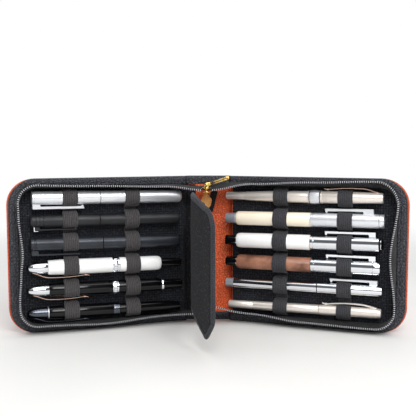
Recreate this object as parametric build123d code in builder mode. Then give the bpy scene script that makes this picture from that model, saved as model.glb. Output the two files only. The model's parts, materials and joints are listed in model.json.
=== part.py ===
from build123d import *
from math import atan2, cos, radians, sin
import os

os.makedirs("parts", exist_ok=True)

# A zip-around pen case that opens like a book and stands on its long lower edge.
# +Z is up, the spine is at the back and the two leaves open towards -Y.
# X = 0 is the middle of the spine, Y = 0 the middle of its thickness, Z = 0 what it stands on.
# Left and right are as seen from the open front. All sizes are in millimetres.

# Case
case_height = 140.0
leaf_length = 166.5
leaf_corner_radius = 23.5
open_angle = 19.0
hinge_half = 21.0
hinge_forward = 5.5

# Leaf layers, from the inside out
lining_thickness = 0.8
foam_thickness = 1.0
board_thickness = 1.2
cover_thickness = 1.4
turned_edge_width = 1.6
layer_start = 1.6
cover_start = 2.6
facing_thickness = 1.0
facing_width = 7.4
facing_end_width = 10.2
facing_reveal = 1.3
cut_overrun = 1.0

# Spine
spine_recess = 4.0
spine_side_gap = 0.5
spine_inner_thickness = 1.2
spine_board_thickness = 1.2
fold_gap = 0.3
fold_shoulder = 1.2

# Zip
tape_thickness = 0.8
tape_height = 15.0
tape_start = 27.0
bead_thickness = 1.8
bead_height = 1.2
tooth_pitch = 8.0
tooth_length = 3.0
tooth_width = 1.2
tooth_height = 1.6
slider_x = -1.5
slider_forward = 17.0
slider_drop = 4.0
slider_length = 10.0
slider_width = 10.5
slider_plate = 1.0
slider_mouth = 2.6
slider_post = 2.4
slider_side_angle = 78.0
slider_corner = 1.4
tape_tail_back = 6.5
tape_edge_gap = 1.9
pull_length = 22.0
pull_width = 4.4
pull_thickness = 1.4
pull_cross_radius = 1.1
pull_lift_angle = 18.0
pull_pin_radius = 0.8
pull_pin_clearance = 0.25
pull_pin_lift = 2.3
pull_ear_height = 3.8
pull_ear_width = 4.4
pull_ear_thickness = 1.4
pull_ear_corner = 1.4
pull_side_gap = 0.4
pull_eye_wall = 0.9
end_tab_width = 8.0
end_tab_drop = 16.0
end_tab_thickness = 1.5
end_tab_corner = 2.4
end_tab_gap = 2.4
end_stop_size = 4.6
end_stop_wall = 2.0

# Page between the leaves
page_root_x = -4.0
page_root_forward = 12.0
page_length = 125.0
page_turn = 3.0
page_root_low = 15.6
page_root_headroom = 16.0
page_near_low = 15.5
page_near_headroom = 20.5
page_corner_radius = 19.0
page_board_thickness = 1.0
page_face_thickness = 1.1
page_binding_width = 3.0
page_binding_thickness = 0.6
page_tape_thickness = 1.2
page_tape_foot = 14.0
page_turn_gap = 0.3

# Elastic loops
strap_width = 13.5
strap_thickness = 0.8
strap_clearance = 0.3
strap_edge_gap = 0.4
strap_end_margin = 1.0
left_inner_strap = 55.0
left_outer_strap_back = 54.7
right_inner_strap = 51.8
right_outer_strap_back = 55.3
strap_bend = 0.62
strap_ease = 0.3

# Pens
pen_rows = 6
pen_edge_space = 9.55
pen_row_shift = 0.3
pen_rest_gap = 0.4
clip_width = 2.6
clip_thickness = 1.1
clip_gap = 0.7
clip_bend = 2.0
clip_root_depth = 0.8
pen_seam = 0.1

total_thickness = lining_thickness + foam_thickness + board_thickness + cover_thickness
middle = case_height / 2
page_root_high = case_height - page_root_headroom
page_near_high = case_height - page_near_headroom
pen_middle = middle + pen_row_shift
pen_pitch = (case_height - 2 * (facing_width + tape_thickness + pen_edge_space)) / (pen_rows - 1)
hinge_y = -hinge_forward
spine_inner_y = hinge_y + spine_recess
spine_board_y = spine_inner_y + spine_inner_thickness
spine_outer_y = spine_board_y + spine_board_thickness
spine_back_y = spine_outer_y + cover_thickness
spine_half = hinge_half - spine_side_gap
zip_low = facing_width + tape_thickness / 2
zip_high = case_height - zip_low
slider_y = hinge_y - slider_forward
slider_z = zip_high - slider_drop
stop_z = zip_low + slider_drop


def save(piece, name):
    piece.part.label = name
    export_step(piece.part, f"parts/{name}.step")


def leaf_point(side, u, v, z):
    # u runs from the hinge line to the leaf's outer edge, v stands up from the lining
    turn = radians(open_angle)
    x = side * (hinge_half + u * cos(turn) - v * sin(turn))
    y = hinge_y - u * sin(turn) - v * cos(turn)
    return Vector(x, y, z)


def leaf_directions(side):
    turn = radians(open_angle)
    along = Vector(side * cos(turn), -sin(turn), 0)
    inward = Vector(-side * sin(turn), -cos(turn), 0)
    return along, inward


def leaf_plane(side, v):
    along, inward = leaf_directions(side)
    return Plane(origin=leaf_point(side, 0, v, middle), x_dir=along, z_dir=inward)


def leaf_outline(start, inset, end_inset=None, mode=Mode.ADD):
    # a plate with a straight hinge edge and two rounded outer corners
    end = leaf_length - (inset if end_inset is None else end_inset)
    corner = leaf_corner_radius - inset
    with BuildLine(mode=Mode.PRIVATE) as border:
        half = middle - inset
        Polyline((end - corner, half), (start, half), (start, -half), (end - corner, -half))
        Line((end, corner - half), (end, half - corner))
        RadiusArc((end - corner, -half), (end, corner - half), -corner)
        RadiusArc((end, half - corner), (end - corner, half), -corner)
    add(make_face(border.edges(), mode=Mode.PRIVATE), mode=mode)


def leaf_plate(side, v_low, v_high, start, inset):
    with BuildPart() as plate:
        with BuildSketch(leaf_plane(side, v_low)):
            leaf_outline(start, inset)
        extrude(amount=v_high - v_low)
    return plate


def leaf_band(side, v_low, v_high, start, outer, inner):
    # an open U along the leaf's three free edges; outer and inner are its insets (sides, end)
    with BuildPart() as band:
        with BuildSketch(leaf_plane(side, v_low)):
            leaf_outline(start, *outer)
            leaf_outline(start - cut_overrun, *inner, mode=Mode.SUBTRACT)
        extrude(amount=v_high - v_low)
    return band


def zip_line(distance):
    # the insets (sides, end) of a line that runs this far inside the facing's inner edge
    return facing_width + distance, facing_end_width + distance


def cover_tray(side):
    # the leather turns up round the board and ends level with the lining
    with BuildPart() as cover:
        with BuildSketch(leaf_plane(side, -total_thickness)):
            leaf_outline(cover_start, 0)
        extrude(amount=total_thickness)
        with BuildSketch(leaf_plane(side, cover_thickness - total_thickness)):
            leaf_outline(cover_start - cut_overrun, turned_edge_width)
        extrude(amount=total_thickness, mode=Mode.SUBTRACT)
    return cover


def zip_teeth(side):
    # a bead along the tape's free edge with one tooth at each pitch
    foot = tape_height + bead_height
    spread = (bead_thickness - tape_thickness) / 2
    side_inset, end_inset = zip_line(tape_thickness / 2)
    end = leaf_length - end_inset
    half = middle - side_inset
    with BuildLine(leaf_plane(side, foot)) as run:
        FilletPolyline(
            (tape_start, half), (end, half), (end, -half), (tape_start, -half),
            radius=leaf_corner_radius - side_inset,
        )
    path = run.wires()[0]
    count = int((path.length - tooth_length) // tooth_pitch)
    inward = leaf_directions(side)[1]
    spots = []
    for step in range(count + 1):
        share = (tooth_length / 2 + step * tooth_pitch) / path.length
        spots.append(Plane(origin=path @ share, x_dir=path % share, z_dir=inward))
    with BuildPart() as teeth:
        with BuildSketch(leaf_plane(side, tape_height)):
            leaf_outline(tape_start, *zip_line(-spread))
            leaf_outline(tape_start - cut_overrun, *zip_line(tape_thickness + spread), mode=Mode.SUBTRACT)
        extrude(amount=bead_height)
        with BuildSketch(*spots):
            Rectangle(tooth_length, tooth_width)
        extrude(amount=tooth_height)
    return teeth


# Pens. row counts from the top, start is the inner end's place along the leaf, end_gap the space from
# the outer end to the zip tape, and rise is how much higher the outer end lies. The foot and the joint
# are measured from the inner end, the tip and both ends of the clip from the outer end.
# clip_side is 1 above the cap and -1 below it.
pens = {
    "left_pen_1": dict(
        side=-1, row=0, start=7.0, end_gap=10.1, rise=1.4,
        barrel_radius=6.0, joint=77.5, cap_radius=6.1,
        clip_free=46.4, clip_fixed=0.8, clip_side=-1,
    ),
    "left_pen_2": dict(
        side=-1, row=1, start=9.0, end_gap=8.5, rise=1.6,
        barrel_radius=5.2, joint=76.0, cap_radius=5.4,
        clip_free=42.0, clip_fixed=0.8, clip_side=-1,
    ),
    "left_pen_3": dict(
        side=-1, row=2, start=9.0, end_gap=8.1, rise=2.4,
        barrel_radius=5.8, joint=73.5, cap_radius=5.9,
        clip_free=40.4, clip_fixed=0.8, clip_side=-1,
    ),
    "left_pen_4": dict(
        side=-1, row=3, start=8.0, end_gap=5.3, rise=1.8,
        foot_length=20.0, foot_radius=4.0,
        barrel_radius=6.7, joint=60.0, cap_radius=6.9,
        tip_length=19.2, tip_radius=5.2, end_radius=2.6,
        clip_free=58.2, clip_fixed=4.8, clip_side=-1,
    ),
    "left_pen_5": dict(
        side=-1, row=4, start=7.0, end_gap=4.9, rise=2.2,
        foot_length=18.6, foot_radius=4.6,
        barrel_radius=6.0, joint=61.5, cap_radius=6.2,
        tip_length=20.6, tip_radius=4.9, end_radius=2.6,
        clip_free=57.6, clip_fixed=5.6, clip_side=-1,
    ),
    "left_pen_6": dict(
        side=-1, row=5, start=9.0, end_gap=5.5, rise=2.6,
        barrel_radius=5.4, joint=59.0, cap_radius=6.2,
        tip_length=19.0, tip_radius=4.9, end_radius=2.8,
        clip_free=54.0, clip_fixed=5.0, clip_side=-1,
    ),
    "right_pen_1": dict(
        side=1, row=0, start=-1.4, end_gap=11.3, rise=1.2,
        foot_length=20.0, foot_radius=3.6,
        barrel_radius=5.4, joint=79.4, cap_radius=5.6,
        clip_free=50.6, clip_fixed=1.2, clip_side=1,
    ),
    "right_pen_2": dict(
        side=1, row=1, start=-1.4, end_gap=9.5, rise=1.8,
        foot_length=9.6, foot_radius=4.4,
        barrel_radius=6.5, joint=81.4, cap_radius=6.4,
        clip_free=53.4, clip_fixed=6.4, clip_side=1,
    ),
    "right_pen_3": dict(
        side=1, row=2, start=-1.4, end_gap=9.9, rise=1.8,
        foot_length=10.6, foot_radius=4.7,
        barrel_radius=7.0, joint=81.4, cap_radius=6.7,
        tip_length=3.6, tip_radius=4.8, end_radius=4.8,
        clip_free=53.0, clip_fixed=5.6, clip_side=1,
    ),
    "right_pen_4": dict(
        side=1, row=3, start=-1.2, end_gap=12.5, rise=0.8,
        foot_length=10.4, foot_radius=4.4,
        barrel_radius=6.7, joint=82.0, cap_radius=6.5,
        clip_free=49.2, clip_fixed=3.6, clip_side=1,
    ),
    "right_pen_5": dict(
        side=1, row=4, start=-1.4, end_gap=10.5, rise=0.8,
        foot_length=8.2, foot_radius=4.3,
        barrel_radius=5.0, joint=88.0, cap_radius=5.2,
        clip_free=47.4, clip_fixed=1.4, clip_side=1,
    ),
    "right_pen_6": dict(
        side=1, row=5, start=1.2, end_gap=11.1, rise=1.4,
        barrel_radius=4.4, joint=87.0, cap_radius=4.6,
        clip_free=53.2, clip_fixed=1.2, clip_side=1,
    ),
}


def pen_radius(pen):
    return max(pen["barrel_radius"], pen["cap_radius"])


def pen_length(pen):
    return leaf_length - facing_end_width - tape_thickness - pen["end_gap"] - pen["start"]


def barrel_outline(pen):
    # places as (distance from the inner end, radius)
    outline = [(0, 0)]
    if "foot_length" in pen:
        outline += [(0, pen["foot_radius"]), (pen["foot_length"], pen["foot_radius"])]
    outline.append((outline[-1][0], pen["barrel_radius"]))
    outline += [(pen["joint"], pen["barrel_radius"]), (pen["joint"], 0)]
    return outline


def cap_outline(pen):
    start = pen["joint"] + pen_seam
    end = pen_length(pen)
    outline = [(start, 0), (start, pen["cap_radius"])]
    if "tip_length" in pen:
        shoulder = end - pen["tip_length"]
        outline += [(shoulder, pen["cap_radius"]), (shoulder, pen["tip_radius"]), (end, pen["end_radius"])]
    else:
        outline.append((end, pen["cap_radius"]))
    outline.append((end, 0))
    return outline


def pen_axis(pen):
    # a pen lies along its leaf with its outer end a little higher
    along = leaf_directions(pen["side"])[0]
    row_z = pen_middle + ((pen_rows - 1) / 2 - pen["row"]) * pen_pitch
    v = pen_radius(pen) + pen_rest_gap
    start = leaf_point(pen["side"], pen["start"], v, row_z - pen["rise"] / 2)
    direction = (along * pen_length(pen) + Vector(0, 0, pen["rise"])).normalized()
    return start, direction


def pen_height_at(pen, u):
    start, direction = pen_axis(pen)
    along = leaf_directions(pen["side"])[0]
    return start.Z + direction.Z * (u - pen["start"]) / direction.dot(along)


def radius_at(outline, distance):
    for (near, near_radius), (far, far_radius) in zip(outline, outline[1:]):
        if near <= distance <= far and far > near:
            return near_radius + (far_radius - near_radius) * (distance - near) / (far - near)
    return 0.0


def clip_reach(pen):
    # how far the clip's outer face stands from the pen's axis
    return pen["cap_radius"] + clip_gap + clip_thickness


def pen_solids(pen):
    # a barrel and a cap with an open seam between them
    # the clip springs from the cap's end and runs back beside the cap, in the leaf's plane
    start, direction = pen_axis(pen)
    inward = leaf_directions(pen["side"])[1]
    bed = Plane(origin=start, x_dir=direction, z_dir=inward)
    free_end = pen_length(pen) - pen["clip_free"]
    fixed_end = pen_length(pen) - pen["clip_fixed"]
    reach = clip_reach(pen)
    inner = reach - clip_thickness
    root = radius_at(cap_outline(pen), fixed_end) - clip_root_depth
    toward = pen["side"] * pen["clip_side"]
    with BuildPart() as solids:
        for outline in (barrel_outline(pen), cap_outline(pen)):
            with BuildSketch(bed):
                with BuildLine():
                    Polyline(*outline, close=True)
                make_face()
            revolve(axis=Axis(start, direction))
        with BuildSketch(bed):
            with BuildLine():
                Polyline(
                    (free_end, toward * inner), (free_end + clip_thickness, toward * reach),
                    (fixed_end - clip_bend, toward * reach), (fixed_end, toward * root),
                    (fixed_end - 2 * clip_bend, toward * root), (fixed_end - 2 * clip_bend, toward * inner),
                    close=True,
                )
            make_face()
        extrude(amount=clip_width / 2, both=True)
    return solids


def loop_shape(pen, u, grow, mode):
    # the space of one pen and its clip under the elastic, grown on every side
    z = pen_height_at(pen, u)
    distance = u - pen["start"]
    radius = max(radius_at(barrel_outline(pen), distance), radius_at(cap_outline(pen), distance)) + grow
    centre = pen_radius(pen) + pen_rest_gap
    low, high = -radius, radius
    if pen_length(pen) - pen["clip_free"] < distance + strap_width / 2:
        reach = clip_reach(pen) + grow
        low, high = (-radius, reach) if pen["clip_side"] > 0 else (-reach, radius)
    corner = strap_bend * radius
    ease = strap_ease * corner
    top = centre + radius
    with BuildLine(mode=Mode.PRIVATE) as arch:
        Polyline(
            (z + low, -cut_overrun), (z + low, top - corner), (z + low + ease, top - ease),
            (z - radius + corner, top), (z + radius - corner, top),
            (z + high - ease, top - ease), (z + high, top - corner), (z + high, -cut_overrun),
            close=True,
        )
    add(make_face(arch.edges(), mode=Mode.PRIVATE), mode=mode)


def elastic_column(side, u):
    # one ribbon sewn to the lining between the pens and arched over each of them
    along, inward = leaf_directions(side)
    row = [pen for pen in pens.values() if pen["side"] == side]
    heights = [pen_height_at(pen, u) for pen in row]
    low = min(heights) - pen_pitch / 2 + strap_end_margin
    high = max(heights) + pen_pitch / 2 - strap_end_margin
    low = max(low, facing_width + tape_thickness + strap_edge_gap)
    high = min(high, case_height - facing_width - tape_thickness - strap_edge_gap)
    with BuildPart() as column:
        plane = Plane(origin=leaf_point(side, u, 0, 0), x_dir=(0, 0, 1), z_dir=along * side)
        with BuildSketch(plane):
            with Locations(((low + high) / 2, 0)):
                Rectangle(high - low, strap_thickness, align=(Align.CENTER, Align.MIN))
            for pen in row:
                loop_shape(pen, u, strap_clearance + strap_thickness, Mode.ADD)
            for pen in row:
                loop_shape(pen, u, strap_clearance, Mode.SUBTRACT)
            with Locations((middle, 0)):
                Rectangle(case_height, pen_pitch, align=(Align.CENTER, Align.MAX), mode=Mode.SUBTRACT)
        extrude(amount=strap_width / 2, both=True)
    return column


# Spine
with BuildPart() as spine_outer_leather:
    with BuildSketch(Plane.XY):
        with Locations((0, spine_inner_y)):
            Rectangle(2 * hinge_half, spine_back_y - spine_inner_y, align=(Align.CENTER, Align.MIN))
    extrude(amount=case_height)
    with BuildSketch(Plane.XY.offset(turned_edge_width)):
        with Locations((0, spine_inner_y)):
            Rectangle(2 * hinge_half, spine_outer_y - spine_inner_y, align=(Align.CENTER, Align.MIN))
    extrude(amount=case_height - 2 * turned_edge_width, mode=Mode.SUBTRACT)
save(spine_outer_leather, "spine_outer_leather")

with BuildPart() as spine_stiffener:
    with BuildSketch(Plane.XY.offset(turned_edge_width)):
        with Locations((0, spine_board_y)):
            Rectangle(2 * spine_half, spine_board_thickness, align=(Align.CENTER, Align.MIN))
    extrude(amount=case_height - 2 * turned_edge_width)
save(spine_stiffener, "spine_stiffener")

with BuildPart() as spine_inner_leather:
    with BuildSketch(Plane.XY.offset(turned_edge_width)):
        with Locations((0, spine_inner_y)):
            Rectangle(2 * spine_half, spine_inner_thickness, align=(Align.CENTER, Align.MIN))
    extrude(amount=case_height - 2 * turned_edge_width)
save(spine_inner_leather, "spine_inner_leather")

with BuildPart() as spine_edge_facings:
    for foot in (0, case_height - facing_width):
        with BuildSketch(Plane.XY.offset(foot)):
            with Locations((0, spine_inner_y - facing_thickness)):
                Rectangle(2 * spine_half, facing_thickness, align=(Align.CENTER, Align.MIN))
        extrude(amount=facing_width)
save(spine_edge_facings, "spine_edge_facings")

# Folds of the leather between the spine and each leaf
for side, name in ((-1, "left"), (1, "right")):
    outer_leaf = leaf_point(side, cover_start - fold_gap, -total_thickness, 0)
    inner_leaf = leaf_point(side, cover_start - fold_gap, cover_thickness - total_thickness, 0)
    lining_back = leaf_point(side, layer_start - fold_gap, -lining_thickness, 0)
    lining_front = leaf_point(side, layer_start - fold_gap, 0, 0)
    with BuildPart() as fold:
        with BuildSketch(Plane.XY):
            with BuildLine():
                Polyline(
                    (side * hinge_half, spine_back_y), (side * (hinge_half + fold_shoulder), spine_back_y),
                    (outer_leaf.X, outer_leaf.Y), (inner_leaf.X, inner_leaf.Y),
                    (side * hinge_half, spine_outer_y), close=True,
                )
            make_face()
        extrude(amount=case_height)
        with BuildSketch(Plane.XY.offset(facing_width)):
            with BuildLine():
                Polyline(
                    (side * spine_half, spine_inner_y),
                    (lining_front.X, lining_front.Y), (lining_back.X, lining_back.Y),
                    (side * spine_half, spine_board_y), close=True,
                )
            make_face()
        extrude(amount=case_height - 2 * facing_width)
    save(fold, f"{name}_fold_leather")

# Leaves
strap_places = {
    "left": (left_inner_strap, leaf_length - left_outer_strap_back),
    "right": (right_inner_strap, leaf_length - right_outer_strap_back),
}
for side, name in ((-1, "left"), (1, "right")):
    foam_v = -lining_thickness
    board_v = foam_v - foam_thickness
    save(cover_tray(side), f"{name}_cover_leather")
    board = leaf_plate(side, board_v - board_thickness, board_v, layer_start, turned_edge_width)
    save(board, f"{name}_cover_board")
    foam = leaf_plate(side, board_v, foam_v, layer_start, turned_edge_width)
    save(foam, f"{name}_cover_foam")
    lining = leaf_plate(side, foam_v, 0, layer_start, turned_edge_width)
    save(lining, f"{name}_lining")
    facing = leaf_band(side, 0, facing_thickness, layer_start, (0, facing_reveal), zip_line(0))
    save(facing, f"{name}_edge_facing")
    tape = leaf_band(side, 0, tape_height, tape_start, zip_line(0), zip_line(tape_thickness))
    save(tape, f"{name}_zip_tape")
    save(zip_teeth(side), f"{name}_zip_teeth")
    for place, column in zip(("inner", "outer"), strap_places[name]):
        save(elastic_column(side, column), f"{name}_{place}_elastic")

# Free ends of the zip tapes, which slope from each leaf to the slider and to the lower stop
tail_y = slider_y + slider_length / 2 + tape_tail_back
for side, name in ((-1, "left"), (1, "right")):
    root = leaf_point(side, tape_start - fold_gap, 0, 0)
    free = leaf_point(side, tape_start - fold_gap, tape_height + bead_height, 0)
    edge_x = slider_x + side * tape_edge_gap
    span = side * (root.X - edge_x)
    with BuildPart() as tape_end:
        for meeting_z, slope in ((slider_z, slider_drop / span), (stop_z, -slider_drop / span)):
            lean = atan2(slope, 1)
            ribbon = Plane(
                origin=(edge_x, 0, meeting_z),
                x_dir=(side * cos(lean), 0, sin(lean)),
                z_dir=(-sin(lean), 0, side * cos(lean)),
            )
            with BuildSketch(ribbon):
                with BuildLine():
                    Polyline(
                        (span / cos(lean), root.Y),
                        (side * (free.X - edge_x) / cos(lean), free.Y),
                        (0, slider_y - slider_length / 2), (0, tail_y), (tape_height, tail_y),
                        close=True,
                    )
                make_face()
            extrude(amount=tape_thickness / 2, both=True)
    save(tape_end, f"{name}_zip_tape_end")

# Slider: two shield plates joined by a wedge between the tapes, with a bridge for the pull
plate_low = slider_z - slider_mouth / 2 - slider_plate
bridge_foot = slider_z + slider_mouth / 2 + slider_plate
pin_z = bridge_foot + pull_pin_lift
ear_inside = pull_width / 2 + pull_side_gap
with BuildPart() as zip_slider_body:
    for foot in (plate_low, bridge_foot - slider_plate):
        with BuildSketch(Plane.XY.offset(foot)):
            with Locations((slider_x, slider_y)):
                Trapezoid(slider_width, slider_length, slider_side_angle, rotation=180)
            chamfer(vertices(), length=slider_corner)
        extrude(amount=slider_plate)
    with BuildSketch(Plane.XY.offset(plate_low)):
        with Locations((slider_x, slider_y - slider_length / 4)):
            Circle(slider_post / 2)
    extrude(amount=slider_mouth + 2 * slider_plate)
    for turn in (-1, 1):
        with BuildSketch(Plane.XZ.offset(turn * ear_inside - slider_y)):
            with Locations((slider_x, bridge_foot)):
                Rectangle(pull_ear_width, pull_ear_height, align=(Align.CENTER, Align.MIN))
            chamfer(vertices().group_by(Axis.Y)[-1], length=pull_ear_corner)
        extrude(amount=turn * pull_ear_thickness)
    with BuildSketch(Plane.XZ.offset(-slider_y)):
        with Locations((slider_x, pin_z)):
            Circle(pull_pin_radius)
    extrude(amount=ear_inside + pull_ear_thickness / 2, both=True)
save(zip_slider_body, "zip_slider_body")

# Pull: an eye on the slider's pin, a narrow slotted bar and a crosspiece at its end
pull_eye_radius = pull_pin_radius + pull_pin_clearance
with BuildPart() as zip_pull:
    pull_plane = Plane(
        origin=(slider_x, slider_y, pin_z),
        x_dir=(cos(radians(pull_lift_angle)), 0, sin(radians(pull_lift_angle))),
        z_dir=(0, -1, 0),
    )
    with BuildSketch(pull_plane):
        Circle(pull_eye_radius + pull_eye_wall)
        Rectangle(pull_length, pull_thickness, align=(Align.MIN, Align.CENTER))
        Circle(pull_eye_radius, mode=Mode.SUBTRACT)
    extrude(amount=pull_width / 2, both=True)
    with BuildSketch(pull_plane):
        with Locations((pull_length - pull_cross_radius, 0)):
            Circle(pull_cross_radius)
    extrude(amount=pull_width / 2 + pull_cross_radius, both=True)
    slot_plane = Plane(origin=pull_plane.origin, x_dir=pull_plane.x_dir, z_dir=pull_plane.y_dir)
    with BuildSketch(slot_plane):
        with Locations((pull_length / 2, 0)):
            Rectangle(pull_length - 4 * pull_eye_radius - 4 * pull_cross_radius, pull_width / 2)
    extrude(amount=pull_thickness, both=True, mode=Mode.SUBTRACT)
save(zip_pull, "zip_pull")

# Leather tab that closes the tapes' upper tail, and the clamp at the lower end of the zip
tab_x = page_root_x + page_tape_thickness / 2 + end_tab_gap
with BuildPart() as zip_end_tab:
    with BuildSketch(Plane.XZ.offset(-tail_y)):
        with Locations((tab_x + end_tab_width / 2, slider_z + tape_thickness / 2)):
            Rectangle(end_tab_width, end_tab_drop, align=(Align.CENTER, Align.MAX))
        fillet(vertices().group_by(Axis.Y)[0], radius=end_tab_corner)
    extrude(amount=-end_tab_thickness)
save(zip_end_tab, "zip_end_tab")

with BuildPart() as zip_end_stop:
    with BuildSketch(Plane.XY.offset(stop_z - end_stop_size / 2)):
        with Locations((slider_x, slider_y)):
            Rectangle(2 * (tape_edge_gap - fold_gap), end_stop_size + 2 * end_stop_wall)
        fillet(vertices(), radius=tape_edge_gap / 2)
    extrude(amount=end_stop_size)
save(zip_end_stop, "zip_end_stop")

# Page between the leaves, turning on a fabric tape that is sewn to the spine
page_y = hinge_y - page_root_forward
page_direction = Vector(sin(radians(page_turn)), -cos(radians(page_turn)), 0)
page_left = Vector(-cos(radians(page_turn)), -sin(radians(page_turn)), 0)
page_plane = Plane(origin=(page_root_x, page_y, 0), x_dir=page_direction, z_dir=page_left)
page_half = page_board_thickness / 2 + page_face_thickness
page_gap = page_tape_thickness / 2 + page_turn_gap


def page_outline(inset, mode=Mode.ADD):
    with BuildLine(mode=Mode.PRIVATE) as border:
        FilletPolyline(
            (page_gap, page_root_low + inset), (page_length - inset, page_near_low + inset),
            (page_length - inset, page_near_high - inset), (page_gap, page_root_high - inset),
            radius=page_corner_radius - inset,
        )
        Line((page_gap, page_root_high - inset), (page_gap, page_root_low + inset))
    add(make_face(border.edges(), mode=Mode.PRIVATE), mode=mode)


with BuildPart() as divider_core:
    with BuildSketch(page_plane):
        page_outline(page_binding_thickness)
    extrude(amount=page_board_thickness / 2, both=True)
save(divider_core, "divider_core")

for name, turn in (("divider_left_face", 1), ("divider_right_face", -1)):
    with BuildPart() as face:
        with BuildSketch(page_plane.offset(turn * page_board_thickness / 2)):
            page_outline(page_binding_thickness)
        extrude(amount=turn * page_face_thickness)
    save(face, name)

with BuildPart() as divider_edge_binding:
    with BuildSketch(page_plane):
        page_outline(0)
        page_outline(page_binding_width, mode=Mode.SUBTRACT)
        with Locations((page_gap, (page_root_low + page_root_high) / 2)):
            Rectangle(
                2 * page_binding_thickness, page_root_high - page_root_low - 2 * page_binding_width,
                mode=Mode.SUBTRACT,
            )
    extrude(amount=page_half + page_binding_thickness, both=True)
    with BuildSketch(page_plane):
        page_outline(page_binding_thickness)
    extrude(amount=page_half, both=True, mode=Mode.SUBTRACT)
save(divider_edge_binding, "divider_edge_binding")

with BuildPart() as divider_hinge_tape:
    with BuildSketch(Plane.XY.offset(page_root_low)):
        with Locations((page_root_x, page_y)):
            Circle(page_tape_thickness / 2)
            Rectangle(
                page_tape_thickness, spine_inner_y - page_y, align=(Align.CENTER, Align.MIN)
            )
        with Locations((page_root_x, spine_inner_y)):
            Rectangle(page_tape_foot, page_tape_thickness, align=(Align.CENTER, Align.MAX))
    extrude(amount=page_root_high - page_root_low)
save(divider_hinge_tape, "divider_hinge_tape")

# Pens
for name, pen in pens.items():
    save(pen_solids(pen), name)
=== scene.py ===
import json
import math

import bpy
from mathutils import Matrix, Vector, noise


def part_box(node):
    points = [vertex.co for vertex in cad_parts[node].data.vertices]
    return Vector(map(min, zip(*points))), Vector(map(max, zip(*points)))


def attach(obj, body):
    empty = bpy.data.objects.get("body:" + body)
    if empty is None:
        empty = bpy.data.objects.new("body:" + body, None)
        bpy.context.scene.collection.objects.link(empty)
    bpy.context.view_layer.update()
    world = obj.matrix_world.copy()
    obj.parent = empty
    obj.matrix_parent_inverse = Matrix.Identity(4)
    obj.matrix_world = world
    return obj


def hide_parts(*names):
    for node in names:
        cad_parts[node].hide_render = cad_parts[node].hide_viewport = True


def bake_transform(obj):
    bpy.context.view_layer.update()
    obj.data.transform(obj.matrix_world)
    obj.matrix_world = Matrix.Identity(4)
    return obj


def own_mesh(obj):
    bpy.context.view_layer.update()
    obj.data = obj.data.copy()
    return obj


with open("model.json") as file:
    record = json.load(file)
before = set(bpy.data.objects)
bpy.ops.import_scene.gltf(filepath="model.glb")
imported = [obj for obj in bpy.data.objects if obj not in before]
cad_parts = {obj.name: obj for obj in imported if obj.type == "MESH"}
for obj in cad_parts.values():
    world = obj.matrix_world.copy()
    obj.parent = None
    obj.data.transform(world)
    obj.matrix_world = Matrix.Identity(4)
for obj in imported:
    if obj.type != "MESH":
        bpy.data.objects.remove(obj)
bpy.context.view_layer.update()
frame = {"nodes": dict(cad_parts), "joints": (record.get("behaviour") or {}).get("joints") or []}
mm = 0.001


# Layout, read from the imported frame. Left and right are as seen from the open front.
sides = {"left": -1, "right": 1}
joints = {joint["name"]: joint for joint in frame["joints"]}
openAngle = math.radians(-joints["left_leaf_hinge"]["range_deg"][0])
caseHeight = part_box("spine_outer_leather")[1].z
middleZ = caseHeight / 2
caseShape = {
    "cornerRadius": 23.5 * mm,   # outer corners of the leaves
    "roundingSteps": 12,
    "straightSteps": 24,
}


def hingeOf(side):
    return Vector(joints[f"{side}_leaf_hinge"]["pos_m"])


def leafDirections(side):
    # along the leaf to its outer edge, and up from its lining
    sign = sides[side]
    along = Vector((sign * math.cos(openAngle), -math.sin(openAngle), 0))
    inward = Vector((-sign * math.sin(openAngle), -math.cos(openAngle), 0))
    return along, inward


def leafPoint(side, u, v, z):
    along, inward = leafDirections(side)
    base = hingeOf(side) + along * u + inward * v
    return Vector((base.x, base.y, z))


def leafBox(node):
    # lowest and highest (u, v, z) of a CAD node in its leaf's own directions
    side = node.split("_")[0]
    along, inward = leafDirections(side)
    places = []
    for vertex in frame["nodes"][node].data.vertices:
        offset = vertex.co - hingeOf(side)
        places.append((offset.dot(along), offset.dot(inward), vertex.co.z))
    return [min(axis) for axis in zip(*places)], [max(axis) for axis in zip(*places)]


coverLow, coverHigh = leafBox("left_cover_leather")
leafLength = coverHigh[0]
coverBack = coverLow[1]
liningLow, liningHigh = leafBox("left_lining")
facingLow, facingHigh = leafBox("left_edge_facing")
facingReveal = leafLength - facingHigh[0]
facingHeight = facingHigh[1]
tapeLow, tapeHigh = leafBox("left_zip_tape")
tapeHeight = tapeHigh[1]
tapeStart = tapeLow[0]
zipSideInset = caseHeight - tapeHigh[2]
zipEndInset = leafLength - tapeHigh[0]


# Shader helpers
def screenColour(tone):
    # a colour as a screen shows it, for a shader
    linear = [((part / 255 + 0.055) / 1.055) ** 2.4 if part > 10 else part / 3294.6 for part in tone]
    return (*linear, 1.0)


def scaled(tone, factor):
    return [factor * part for part in tone[:3]] + [1.0]


def setInputs(tree, node, inputs):
    # inputs are values or other nodes' outputs
    for socket, value in inputs.items():
        if isinstance(value, bpy.types.NodeSocket):
            tree.links.new(value, node.inputs[socket])
        else:
            node.inputs[socket].default_value = value


def addNode(tree, kind, inputs=None, **settings):
    node = tree.nodes.new("ShaderNode" + kind)
    for key, value in settings.items():
        setattr(node, key, value)
    setInputs(tree, node, inputs or {})
    return node


def mathNode(tree, operation, first, second=0.0, third=0.0):
    return addNode(tree, "Math", {0: first, 1: second, 2: third}, operation=operation).outputs[0]


def noiseNode(tree, place, scale, detail=2.0):
    return addNode(tree, "TexNoise", {"Vector": place, "Scale": scale, "Detail": detail}).outputs["Fac"]


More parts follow.
